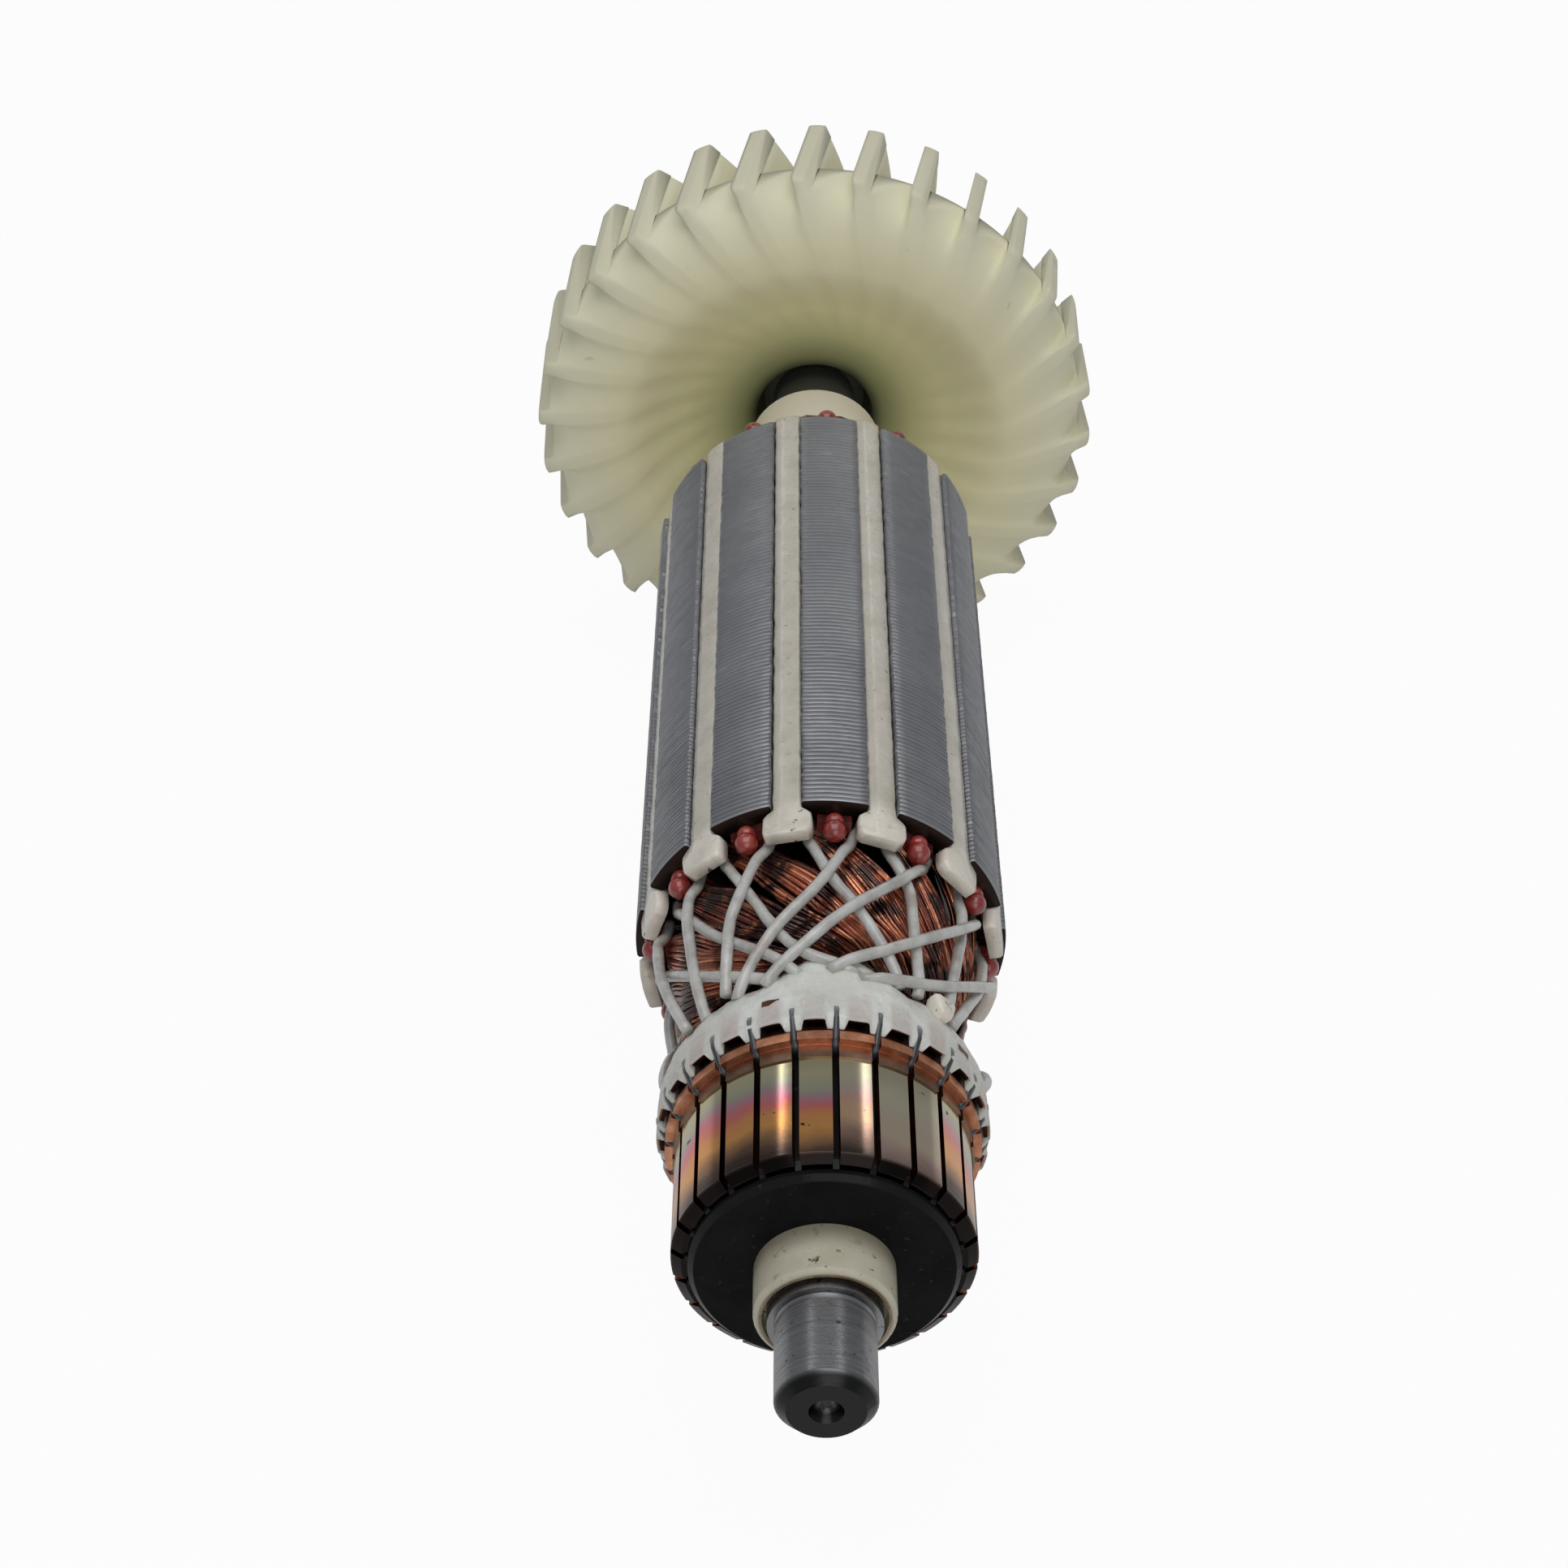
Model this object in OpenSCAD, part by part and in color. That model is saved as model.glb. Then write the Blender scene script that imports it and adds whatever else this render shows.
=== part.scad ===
// Armature of a small universal motor: laminated core, windings, commutator,
// insulated shaft and cooling fan. Millimetres. The shaft lies along Y, with the
// commutator end towards -Y and the fan towards +Y. The origin is the middle of
// the bearing seat at the commutator end.

/* [Shaft] */
// Diameter of the bearing seat at the commutator end
front_seat_d = 7; // [6:0.5:7.5]
// Length of the bearing seat at the commutator end
front_seat_len = 6; // [5:0.5:7]
// Chamfer on the shaft end at the commutator
front_chamfer = 0.8; // [0.4:0.1:1]
// Diameter of the shaft body under the insulating sleeve
shaft_d = 8; // [7.8:0.1:8.4]
// Length of the relief groove behind the front bearing seat
relief_len = 0.4; // [0.2:0.1:0.8]
// Depth of the relief groove below the bearing seat
relief_depth = 0.15; // [0.05:0.05:0.3]
// Distance from the front bearing seat to the core
seat_to_core = 38.8; // [38:0.2:42]
// Diameter of the shaft where the fan is pressed on
fan_seat_d = 10; // [9.4:0.2:10.6]
// Diameter of the bearing seat at the drive end
drive_seat_d = 9; // [8:0.5:9]
// Length of the bearing seat at the drive end
drive_seat_len = 8; // [6:0.5:10]
// Shaft length between the fan and the drive bearing seat
drive_shoulder_len = 2; // [1:0.5:4]
// Diameter of the pinion seat
pinion_seat_d = 7; // [5:0.5:7.5]
// Length of the pinion seat
pinion_seat_len = 20; // [10:1:26]
// Chamfer on the shaft end at the pinion
pinion_chamfer = 0.7; // [0.3:0.1:1]
// Mouth diameter of the centre-drill hole in each shaft end
centre_hole_d = 2.4; // [1.6:0.2:3]
// Depth of the centre-drill hole
centre_hole_depth = 3.2; // [2:0.2:5]

/* [Insulating sleeve] */
// Outer diameter of the sleeve under the core and the commutator
sleeve_d = 9.9; // [9.5:0.1:10.3]
// Length of the sleeve that stands out of the commutator
sleeve_front_len = 4.2; // [3:0.2:4.6]
// Bore of the counterbored sleeve mouth
sleeve_mouth_d = 8.7; // [8.5:0.1:8.9]
// Depth of the counterbore in the sleeve mouth
sleeve_mouth_depth = 1.2; // [0.6:0.2:2.4]
// Rounding of the sleeve mouth
sleeve_round = 0.45; // [0.2:0.05:0.5]
// Outer diameter of the thick part of the sleeve behind the core
sleeve_rear_d = 12.8; // [11.6:0.2:13]
// Length of the sleeve behind the core
sleeve_rear_len = 18.4; // [14:0.2:21]

/* [Core] */
// Outer diameter of the laminated core
core_d = 29; // [28.6:0.2:31]
// Length of the stack of laminations
core_len = 54.5; // [40:0.5:70]
// Number of teeth and slots
tooth_count = 12; // [12:1:12]
// Angle of the first tooth from straight up
tooth_phase = 5; // [0:1:29]
// Width of the tooth between its slots
tooth_w = 2.6; // [2.3:0.1:2.8]
// Width of the slot opening at the outside
slot_opening = 2.4; // [2.2:0.1:2.8]
// Thickness of the tooth lip at the slot opening
lip_t = 1; // [0.8:0.1:1.2]
// Height of the sloping shoulder under the tooth lip
lip_slope = 0.8; // [0.6:0.1:1]
// Diameter of the circle that the slot floors lie on
slot_floor_d = 14.6; // [14:0.2:15]

/* [Slot insulation] */
// Thickness of the liner paper in each slot
liner_t = 0.2; // [0.1:0.05:0.25]
// Length of liner that stands out of the core
liner_out = 0.5; // [0.2:0.1:0.8]
// Depth of the wedge face below the outside of the core
wedge_recess = 0.35; // [0.1:0.05:0.6]
// Thickness of the wedge flange under the tooth lips
wedge_flange_t = 0.4; // [0.3:0.05:0.5]
// Play between wedge, liner and slot
slot_play = 0.1; // [0.05:0.05:0.15]
// Width of the flared wedge end
wedge_end_w = 3.7; // [3:0.1:4]
// Length of the flared wedge end at the commutator end
wedge_out = 2.9; // [2:0.1:3.2]
// Thickness of the flared wedge end
wedge_end_t = 1.1; // [0.9:0.1:1.4]
// Length of the plain wedge end at the fan end
rear_wedge_out = 0.9; // [0.4:0.1:2]

/* [End insulators] */
// Thickness of the star-shaped end insulator
star_t = 0.8; // [0.4:0.1:0.9]
// Diameter of the ring that joins the arms of the star
star_ring_d = 14.6; // [13:0.2:14.8]
// Diameter of the small bead nearest the core
bead_small_d = 1.5; // [1:0.1:1.7]
// Diameter of the large bead at the end of the arm
bead_large_d = 1.8; // [1.2:0.1:1.8]
// Distance between the centres of the two beads
bead_step = 1; // [0.6:0.1:1.2]

/* [Windings] */
// Number of slots that a coil spans
coil_span = 5; // [5:1:5]
// Length of the end turns at the commutator end
front_turn_len = 10.4; // [9.4:0.2:11]
// Length of the end turns at the fan end
rear_turn_len = 8; // [7.6:0.2:12]
// Clearance between the end turns and the sleeve behind the core
turn_clearance = 0.3; // [0.2:0.05:0.6]
// How far the end turns at the commutator end draw in
front_turn_drop = 1.25; // [0.8:0.05:1.6]
// How far the end turns at the fan end draw in
rear_turn_drop = 1.7; // [1:0.05:2]
// Space between the two layers of a slot
layer_gap = 0.35; // [0.3:0.05:0.5]
// Angle between neighbouring bundles in the end turns
bundle_gap_angle = 2.8; // [1.5:0.1:5]
// Angle that an end turn sweeps before it turns back
swirl_angle = 48; // [36:1:54]

/* [Leads] */
// Diameter of a sleeved lead
lead_d = 0.75; // [0.5:0.05:0.8]
// Angle between a lead and the middle of its slot at the core
lead_start_angle = 6; // [5:0.5:8]
// Angle that a lead sweeps on its way to the commutator
lead_sweep = 46; // [36:1:54]

/* [Commutator] */
// Number of copper bars
bar_count = 24; // [24:1:24]
// Diameter of the brush track
track_d = 21.4; // [21:0.1:21.8]
// Length of the brush track
track_len = 8.8; // [7:0.2:9.4]
// Width of the slot between two bars
bar_gap = 0.5; // [0.3:0.05:0.7]
// Depth of the undercut between two bars
undercut = 0.8; // [0.4:0.1:1.2]
// Chamfer at the outer end of each bar
bar_chamfer = 0.5; // [0.3:0.1:0.7]
// Length of the unworn band beside the risers
band_len = 1.2; // [0.8:0.1:1.6]
// Height of the unworn band above the track
band_h = 0.15; // [0.05:0.05:0.3]
// Height of the riser above the track
riser_h = 0.75; // [0.6:0.05:0.9]
// Length of the riser
riser_len = 5.3; // [5:0.1:5.6]
// Width of the hook on each riser
hook_w = 1.3; // [0.9:0.1:1.6]
// Thickness of the hook
hook_t = 0.4; // [0.3:0.05:0.45]
// Radial thickness of the bars
bar_t = 3.3; // [3:0.1:3.5]
// Diameter of the outer face of the moulded hub
hub_face_d = 19; // [18:0.2:19.4]
// Thickness of the hub flange beyond the bars
hub_flange_t = 0.8; // [0.5:0.1:1]
// Distance from the core to the risers
riser_to_core = 17; // [17:0.2:18.4]

/* [Resin band] */
// Largest diameter of the resin band over the hooks
resin_d = 23.9; // [23.8:0.1:24.4]
// Length of the resin band
resin_len = 8; // [7.6:0.1:8.4]
// Bore of the resin band between risers and windings
resin_bore = 17.2; // [16:0.2:18]

/* [Fan] */
// Diameter over the blade tips
fan_d = 54.8; // [50:0.2:58]
// Number of blades
blade_count = 30; // [24:1:32]
// Angle of the first blade from straight up
blade_phase = 11.2; // [0:0.2:11.8]
// Axial width of the blade tips
blade_w = 11.4; // [10:0.2:14]
// Thickness of a blade
blade_t = 1.4; // [1:0.1:1.8]
// Angle of the blades off the radius
blade_sweep = 24; // [10:1:30]
// Lean of the blades off the shaft axis
blade_lean = 10; // [0:1:14]
// Diameter of the circle where the blades begin
blade_root_d = 21; // [20:0.5:24]
// Distance from the core to the nearest edge of the blade tips
fan_to_core = 20.8; // [19:0.2:24]
// Diameter of the fan disc
disc_d = 53.4; // [52:0.2:54]
// Thickness of the fan disc
disc_t = 1.6; // [1.2:0.1:2]
// Diameter of the rounded crest of the disc
crest_d = 37; // [34:0.5:40]
// Height of the crest in front of the blade tips
crest_h = 1.8; // [0.5:0.1:2.4]
// Outer diameter of the fan hub
fan_hub_d = 19; // [17:0.5:20]
// Depth of the funnel from the crest to the hub
funnel_depth = 4.8; // [4:0.2:6]
// Diameter of the hollow round the shaft in the hub's front
hub_mouth_d = 11.7; // [11:0.1:12]
// Depth of the hollow in the hub's front
hub_mouth_depth = 3.4; // [2:0.2:5]
// Width of the rounded ridge in front of each blade, at the rim
ridge_w = 6.2; // [5.6:0.2:6.6]

/* [Hidden] */
$fn = 96;
CLEAR = 0.03;               // play between two pieces that seat on each other
core_y = front_seat_len / 2 + seat_to_core;
core_end_y = core_y + core_len;
pitch = 360 / tooth_count;

// Slot section: heights are measured from the shaft axis along the slot's middle.
core_r = core_d / 2;
slot_top_h = core_r - lip_t - lip_slope;
slot_floor_h = slot_floor_d / 2;
wedge_top_h = core_r - wedge_recess;
wedge_bottom_h = slot_top_h - wedge_flange_t;
coil_top_r = wedge_bottom_h - slot_play - 0.1;
coil_bottom_r = slot_floor_h + liner_t + slot_play + 0.05;
coil_mid_r = (coil_top_r + coil_bottom_r) / 2;

// Windings beyond the core: the bundles leave the slots past the star insulators.
turn_start = star_t + 0.2;
turn_inner_r = sleeve_rear_d / 2 + turn_clearance;
turn_half_angle = pitch / 2 - bundle_gap_angle / 2;
span_angle = coil_span * pitch;
FAN_OUT = 8;                // steps along a layer of an end turn
TIP = 6;                    // steps round the tip of an end turn

// Commutator, counted from the core towards the bearing seat.
riser_back_y = core_y - riser_to_core;
riser_front_y = riser_back_y - riser_len;
band_front_y = riser_front_y - band_len;
bar_end_y = band_front_y - track_len - bar_chamfer;
hub_face_y = bar_end_y - hub_flange_t;
track_r = track_d / 2;
riser_r = track_r + riser_h;
bar_in_r = track_r - bar_t;
bar_pitch = 360 / bar_count;
hook_front_y = riser_front_y + 1.4;
hook_back_y = hook_front_y + 2.7;
hook_rise = 0.15;           // space between the hook's tip and the riser

// Resin band between the windings and the hooks.
resin_back_y = hook_front_y + 0.2 + resin_len;
resin_front_y = hook_front_y + 0.2;
resin_r = resin_d / 2;

// Shaft and sleeve stations.
front_end_y = -front_seat_len / 2 - front_chamfer;
sleeve_mouth_y = hub_face_y - sleeve_front_len;
sleeve_end_y = core_end_y + sleeve_rear_len;
fan_tip_y = core_end_y + fan_to_core;
fan_back_y = fan_tip_y + blade_w;
hub_y = fan_tip_y - crest_h + funnel_depth;
fan_seat_y = hub_y + hub_mouth_depth;
drive_seat_y = fan_back_y + drive_shoulder_len;
pinion_seat_y = drive_seat_y + drive_seat_len;
pinion_end_y = pinion_seat_y + pinion_seat_len;

function pad2(i) = i < 10 ? str("0", i) : str(i);
function coil_name(i) = str("coil_", pad2(i));
function wedge_name(i) = str("slot_wedge_", pad2(i));
function bar_name(i) = str("commutator_bar_", pad2(i));

// Colours of the materials.
STEEL = [0.62, 0.62, 0.62];
IRON = [0.48, 0.50, 0.53];
CREAM = [0.85, 0.82, 0.72];
RED_FIBRE = [0.45, 0.10, 0.09];
COPPER = [0.62, 0.30, 0.18];
BLACK = [0.07, 0.07, 0.07];
RESIN = [0.82, 0.83, 0.80];
NYLON = [0.74, 0.74, 0.60];

// Lays a solid drawn along Z on the shaft axis: Z becomes Y, and -Y points up.
module along_shaft(y = 0) translate([0, y, 0]) rotate([-90, 0, 0]) children();

// Turns a solid drawn at the top to an angle clockwise from straight up.
module at_angle(a) rotate([0, 0, a]) children();

// A turned solid: outline points are [distance along the shaft, radius].
module turned(outline) rotate_extrude() polygon([for (p = outline) [p[1], p[0]]]);

function slot_angle(i) = tooth_phase + (i - 0.5) * pitch;
function bar_angle(i) = tooth_phase + (i - 0.5) * bar_pitch;
function mix(a, b, t) = a + (b - a) * t;

// Half the width of a slot at height h, inside an inset from the tooth sides.
function slot_half(h, inset) = h * tan(pitch / 2) - (tooth_w / 2 + inset) / cos(pitch / 2);

module shaft() {
    front_r = front_seat_d / 2;
    body_r = shaft_d / 2;
    fan_r = fan_seat_d / 2;
    drive_r = drive_seat_d / 2;
    pinion_r = pinion_seat_d / 2;
    relief_y = front_seat_len / 2;
    color(STEEL) along_shaft() difference() {
        turned([
            [front_end_y, 0], [front_end_y, front_r - front_chamfer],
            [front_end_y + front_chamfer, front_r], [relief_y, front_r],
            [relief_y + relief_len / 2, front_r - relief_depth],
            [relief_y + relief_len, front_r], [relief_y + relief_len, body_r],
            [fan_seat_y, body_r], [fan_seat_y, fan_r],
            [drive_seat_y, fan_r], [drive_seat_y, drive_r], [pinion_seat_y, drive_r],
            [pinion_seat_y, pinion_r], [pinion_end_y - pinion_chamfer, pinion_r],
            [pinion_end_y, pinion_r - pinion_chamfer], [pinion_end_y, 0]
        ]);
        translate([0, 0, front_end_y]) centre_hole();
        translate([0, 0, pinion_end_y]) mirror([0, 0, 1]) centre_hole();
    }
}

// A 60 degree centre-drill hole that opens towards -Z at the origin.
module centre_hole() {
    cone_depth = centre_hole_d * 0.55;
    translate([0, 0, -1]) cylinder(d = centre_hole_d, h = 1);
    cylinder(d1 = centre_hole_d, d2 = centre_hole_d * 0.4, h = cone_depth);
    cylinder(d = centre_hole_d * 0.4, h = centre_hole_depth);
}

module insulating_sleeve() {
    out_r = sleeve_d / 2;
    bore_r = shaft_d / 2;
    mouth_r = sleeve_mouth_d / 2;
    collar_y = core_end_y + star_t + 2 * CLEAR;
    rear_r = sleeve_rear_d / 2;
    color(CREAM) along_shaft() turned(concat(
        [[sleeve_mouth_y, mouth_r], [sleeve_mouth_y, out_r - sleeve_round]],
        [for (a = [15:15:90]) [
            sleeve_mouth_y + sleeve_round * (1 - cos(a)),
            out_r - sleeve_round + sleeve_round * sin(a)
        ]],
        [[collar_y, out_r], [collar_y, rear_r], [sleeve_end_y - sleeve_round, rear_r],
         [sleeve_end_y, rear_r - sleeve_round], [sleeve_end_y, bore_r],
         [sleeve_mouth_y + sleeve_mouth_depth, bore_r],
         [sleeve_mouth_y + sleeve_mouth_depth, mouth_r]]
    ));
}

module slot_outline() {
    half = slot_opening / 2;
    polygon([
        [-slot_half(slot_floor_h, 0), -slot_floor_h],
        [-slot_half(slot_top_h, 0), -slot_top_h], [-half, -slot_top_h - lip_slope],
        [-half, -core_r - 1], [half, -core_r - 1], [half, -slot_top_h - lip_slope],
        [slot_half(slot_top_h, 0), -slot_top_h], [slot_half(slot_floor_h, 0), -slot_floor_h]
    ]);
}

module lamination_stack() {
    color(IRON) along_shaft(core_y) linear_extrude(core_len) difference() {
        circle(d = core_d);
        circle(d = sleeve_d);
        for (i = [1:tooth_count]) at_angle(slot_angle(i)) slot_outline();
    }
}

// Folded insulating paper, open towards the wedge, one in each slot.
module slot_liners() {
    in = liner_t + CLEAR;
    top = wedge_bottom_h - slot_play;
    floor_out = slot_floor_h + CLEAR;
    floor_in = floor_out + liner_t;
    color(RED_FIBRE) along_shaft(core_y - liner_out)
        for (i = [1:tooth_count]) at_angle(slot_angle(i))
            linear_extrude(core_len + 2 * liner_out) polygon([
                [-slot_half(floor_out, CLEAR), -floor_out], [-slot_half(top, CLEAR), -top],
                [-slot_half(top, in), -top], [-slot_half(floor_in, in), -floor_in],
                [slot_half(floor_in, in), -floor_in], [slot_half(top, in), -top],
                [slot_half(top, CLEAR), -top], [slot_half(floor_out, CLEAR), -floor_out]
            ]);
}

// A pressed strip that closes the slot: a T in section, flared at the front end.
module slot_wedge(i) {
    stem = slot_opening / 2 - slot_play;
    flange = slot_half(slot_top_h, 0) - 3 * slot_play;
    color(CREAM) along_shaft(core_y) at_angle(slot_angle(i)) {
        translate([0, 0, -wedge_out + 0.3])
            linear_extrude(core_len + wedge_out - 0.3 + rear_wedge_out)
            polygon([
                [-flange, -wedge_bottom_h], [flange, -wedge_bottom_h],
                [flange, -slot_top_h], [stem, -slot_top_h - lip_slope], [stem, -wedge_top_h],
                [-stem, -wedge_top_h], [-stem, -slot_top_h - lip_slope], [-flange, -slot_top_h]
            ]);
        wedge_end(stem);
    }
}

// The flared end of a wedge, drawn at the core face and reaching towards -Z.
module wedge_end(stem) {
    half = wedge_end_w / 2;
    flare = 0.25;
    top = wedge_top_h;
    translate([0, -top, 0]) rotate([-90, 0, 0]) linear_extrude(wedge_end_t) polygon([
        [-stem, flare], [-half, flare + 0.9], [-half, wedge_out - 0.25],
        [-half + 0.25, wedge_out], [half - 0.25, wedge_out], [half, wedge_out - 0.25],
        [half, flare + 0.9], [stem, flare]
    ]);
}

// Star of fibre on a core face, one arm over each tooth, with a two-lobed bead
// under each tooth tip. It is drawn towards +Z from the core face.
module end_insulator() {
    arm_end = core_r - 1.4;
    bead_h = coil_top_r + bead_large_d / 2 + 0.02;
    first = bead_small_d / 2 + CLEAR;
    difference() {
        union() {
            translate([0, 0, CLEAR]) cylinder(d = star_ring_d, h = star_t);
            for (i = [1:tooth_count]) at_angle(tooth_phase + i * pitch) {
                translate([-tooth_w / 2, -arm_end, CLEAR])
                    cube([tooth_w, arm_end - star_ring_d / 2 + 0.3, star_t]);
                translate([0, -bead_h, first]) sphere(d = bead_small_d, $fn = 32);
                translate([0, -bead_h, first + bead_step]) sphere(d = bead_large_d, $fn = 32);
            }
        }
        translate([0, 0, -1]) cylinder(d = sleeve_d + 2 * CLEAR, h = star_t + 4);
    }
}

module front_end_insulator() {
    color(RED_FIBRE) along_shaft(core_y) mirror([0, 0, 1]) end_insulator();
}

module rear_end_insulator() {
    color(RED_FIBRE) along_shaft(core_end_y) end_insulator();
}

// One station of a coil: [side towards the turn's inside, side away from it, angle],
// where each side is [radius, distance out of the core, half angle].
function leg_half(r) = asin(slot_half(r, liner_t + slot_play) / r);
function widen(r, u) = mix(leg_half(r), turn_half_angle, min(1, u / 0.3));

function turn_mid_r(drop) = (coil_top_r - drop + turn_inner_r) / 2;
function bundle_t(drop) = coil_top_r - drop - turn_mid_r(drop) - layer_gap / 2;

function outer_station(u, len, drop) =
    let (
        r0 = mix(coil_mid_r + layer_gap / 2, turn_mid_r(drop) + layer_gap / 2, u * u),
        r1 = coil_top_r - drop * u * u,
        d = mix(turn_start, len - bundle_t(drop), u)
    )
    [[r0, d, widen(r0, u)], [r1, d, widen(r1, u)], swirl_angle * pow(u, 1.2)];

function inner_station(u, len, drop) =
    let (
        r0 = mix(coil_mid_r - layer_gap / 2, turn_mid_r(drop) - layer_gap / 2, u * u),
        r1 = mix(coil_bottom_r, turn_inner_r, u * u),
        d = mix(turn_start, len - bundle_t(drop), u)
    )
    [[r0, d, widen(r0, u)], [r1, d, widen(r1, u)], span_angle - swirl_angle * pow(u, 1.2)];

function tip_station(t, len, drop) =
    let (
        mid_r = turn_mid_r(drop),
        d = len - bundle_t(drop),
        r0 = layer_gap / 2,
        r1 = r0 + bundle_t(drop)
    )
    [
        [mid_r + r0 * cos(180 * t), d + r0 * sin(180 * t), turn_half_angle],
        [mid_r + r1 * cos(180 * t), d + r1 * sin(180 * t), turn_half_angle],
        mix(swirl_angle, span_angle - swirl_angle, t)
    ];

function end_turn(len, drop) = concat(
    [for (k = [0:FAN_OUT]) outer_station(k / FAN_OUT, len, drop)],
    [for (k = [1:TIP - 1]) tip_station(k / TIP, len, drop)],
    [for (k = [FAN_OUT:-1:0]) inner_station(k / FAN_OUT, len, drop)]
);

// Section of a bundle with its corners cut: [across, depth] in units of its size.
BUNDLE = [
    [-0.8, 0], [0.8, 0], [1, 0.25], [1, 0.75], [0.8, 1], [-0.8, 1], [-1, 0.75], [-1, 0.25]
];

function ring_points(st, face_y, dir, a0) = [
    for (q = BUNDLE)
        let (
            r = mix(st[0][0], st[1][0], q[1]),
            d = mix(st[0][1], st[1][1], q[1]),
            a = a0 + st[2] + q[0] * mix(st[0][2], st[1][2], q[1])
        )
        [r * sin(a), face_y + dir * d, r * cos(a)]
];

function reversed(v) = [for (k = [len(v) - 1:-1:0]) v[k]];

// A closed loop of wire: front end turn, leg in the far slot, rear end turn, leg back.
module coil(i) {
    a0 = slot_angle(i);
    front_turn = end_turn(front_turn_len, front_turn_drop);
    rear_turn = end_turn(rear_turn_len, rear_turn_drop);
    front = [for (st = front_turn) ring_points(st, core_y, -1, a0)];
    rear = [for (st = reversed(rear_turn)) ring_points(st, core_end_y, 1, a0)];
    rings = concat(front, rear);
    n = len(rings);
    m = len(BUNDLE);
    color(COPPER) polyhedron(
        points = [for (ring = rings) each ring],
        faces = [
            for (k = [0:n - 1], j = [0:m - 1])
                let (a = k * m, b = ((k + 1) % n) * m, j2 = (j + 1) % m)
                each j < m / 2
                    ? [[a + j, b + j, b + j2], [a + j, b + j2, a + j2]]
                    : [[a + j, b + j, a + j2], [b + j, b + j2, a + j2]]
        ]
    );
}

// Radius of the line that the lower leads follow, at a distance out of the core:
// along the end turns, round their tip, then straight into the resin band.
function lead_r(d) =
    let (
        lift = lead_d / 2 + 0.15,
        drop = front_turn_drop,
        tip_d = front_turn_len - bundle_t(drop),
        u = (d - turn_start) / (tip_d - turn_start),
        tip_r = layer_gap / 2 + bundle_t(drop) + lift,
        past = sqrt(max(0, pow(tip_r, 2) - pow(d - tip_d, 2)))
    )
    d < tip_d
        ? coil_top_r - drop * u * u + lift
        : max(turn_mid_r(drop) + past, resin_bore / 2 + 1);

LEAD_STEPS = 16;

// A sleeved lead from a slot to the resin band; turn is 1 clockwise or -1.
module lead(i, turn, lift) {
    first = wedge_out + 0.1;
    last = core_y - resin_back_y - CLEAR;
    path = [
        for (k = [0:LEAD_STEPS])
            let (
                v = k / LEAD_STEPS,
                d = mix(first, last, v),
                r = lead_r(d) + lift * min(1, v / 0.12),
                a = slot_angle(i) + turn * (lead_start_angle + lead_sweep * pow(v, 1.25))
            )
            [r * sin(a), core_y - d, r * cos(a)]
    ];
    swept_tube(path, lead_d);
}

// A round tube along points that run towards -Y, with both ends square to the shaft.
module swept_tube(path, d) {
    sides = 8;
    last = len(path) - 1;
    rings = [
        for (k = [0:last])
            let (
                along = k == 0 || k == last ? [0, -1, 0] : unit(path[k + 1] - path[k - 1]),
                out = unit(path[k] - [0, path[k][1], 0]),
                side = unit(cross(along, out)),
                up = cross(side, along)
            )
            [for (j = [0:sides - 1])
                path[k] + (side * cos(j * 360 / sides) + up * sin(j * 360 / sides)) * d / 2]
    ];
    polyhedron(
        points = [for (ring = rings) each ring],
        faces = concat(
            [[for (j = [0:sides - 1]) j]],
            [for (k = [0:last - 1], j = [0:sides - 1])
                let (a = k * sides, b = a + sides, j2 = (j + 1) % sides)
                each [[a + j, b + j, b + j2], [a + j, b + j2, a + j2]]],
            [[for (j = [sides - 1:-1:0]) last * sides + j]]
        )
    );
}

function unit(v) = v / norm(v);

// The leads that cross underneath, one from each slot.
module finish_leads() {
    color(RESIN) for (i = [1:tooth_count]) lead(i, 1, 0);
}

// The leads that cross on top, one from each slot.
module start_leads() {
    color(RESIN) for (i = [1:tooth_count]) lead(i, -1, lead_d + 0.1);
}

module commutator_hub() {
    face_r = hub_face_d / 2;
    barrel_r = bar_in_r - CLEAR;
    round = 0.4;
    rib_w = bar_gap - 2 * CLEAR;
    color(BLACK) along_shaft() {
        difference() {
            union() {
                turned([
                    [hub_face_y, 0], [hub_face_y, face_r - round], [hub_face_y + round, face_r],
                    [bar_end_y - CLEAR, face_r], [bar_end_y - CLEAR, barrel_r],
                    [riser_back_y + 0.6, barrel_r], [riser_back_y + 0.6, 0]
                ]);
                for (i = [1:bar_count]) at_angle(bar_angle(i) + bar_pitch / 2)
                    hub_rib(rib_w);
            }
            translate([0, 0, hub_face_y - 1])
                cylinder(d = sleeve_d + 2 * CLEAR, h = riser_back_y - hub_face_y + 4);
        }
    }
}

// The moulding between two bars, lower than the track by the undercut.
module hub_rib(w) {
    low = track_r - undercut;
    high = riser_r - undercut;
    translate([w / 2, 0, 0]) rotate([0, -90, 0]) linear_extrude(w) polygon([
        [bar_end_y - 0.2, -bar_in_r + 0.5], [bar_end_y - 0.2, -hub_face_d / 2 - 0.2],
        [bar_end_y + bar_chamfer, -low], [riser_front_y, -low], [riser_front_y + 0.5, -high],
        [riser_back_y, -high], [riser_back_y, -bar_in_r + 0.5]
    ]);
}

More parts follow.
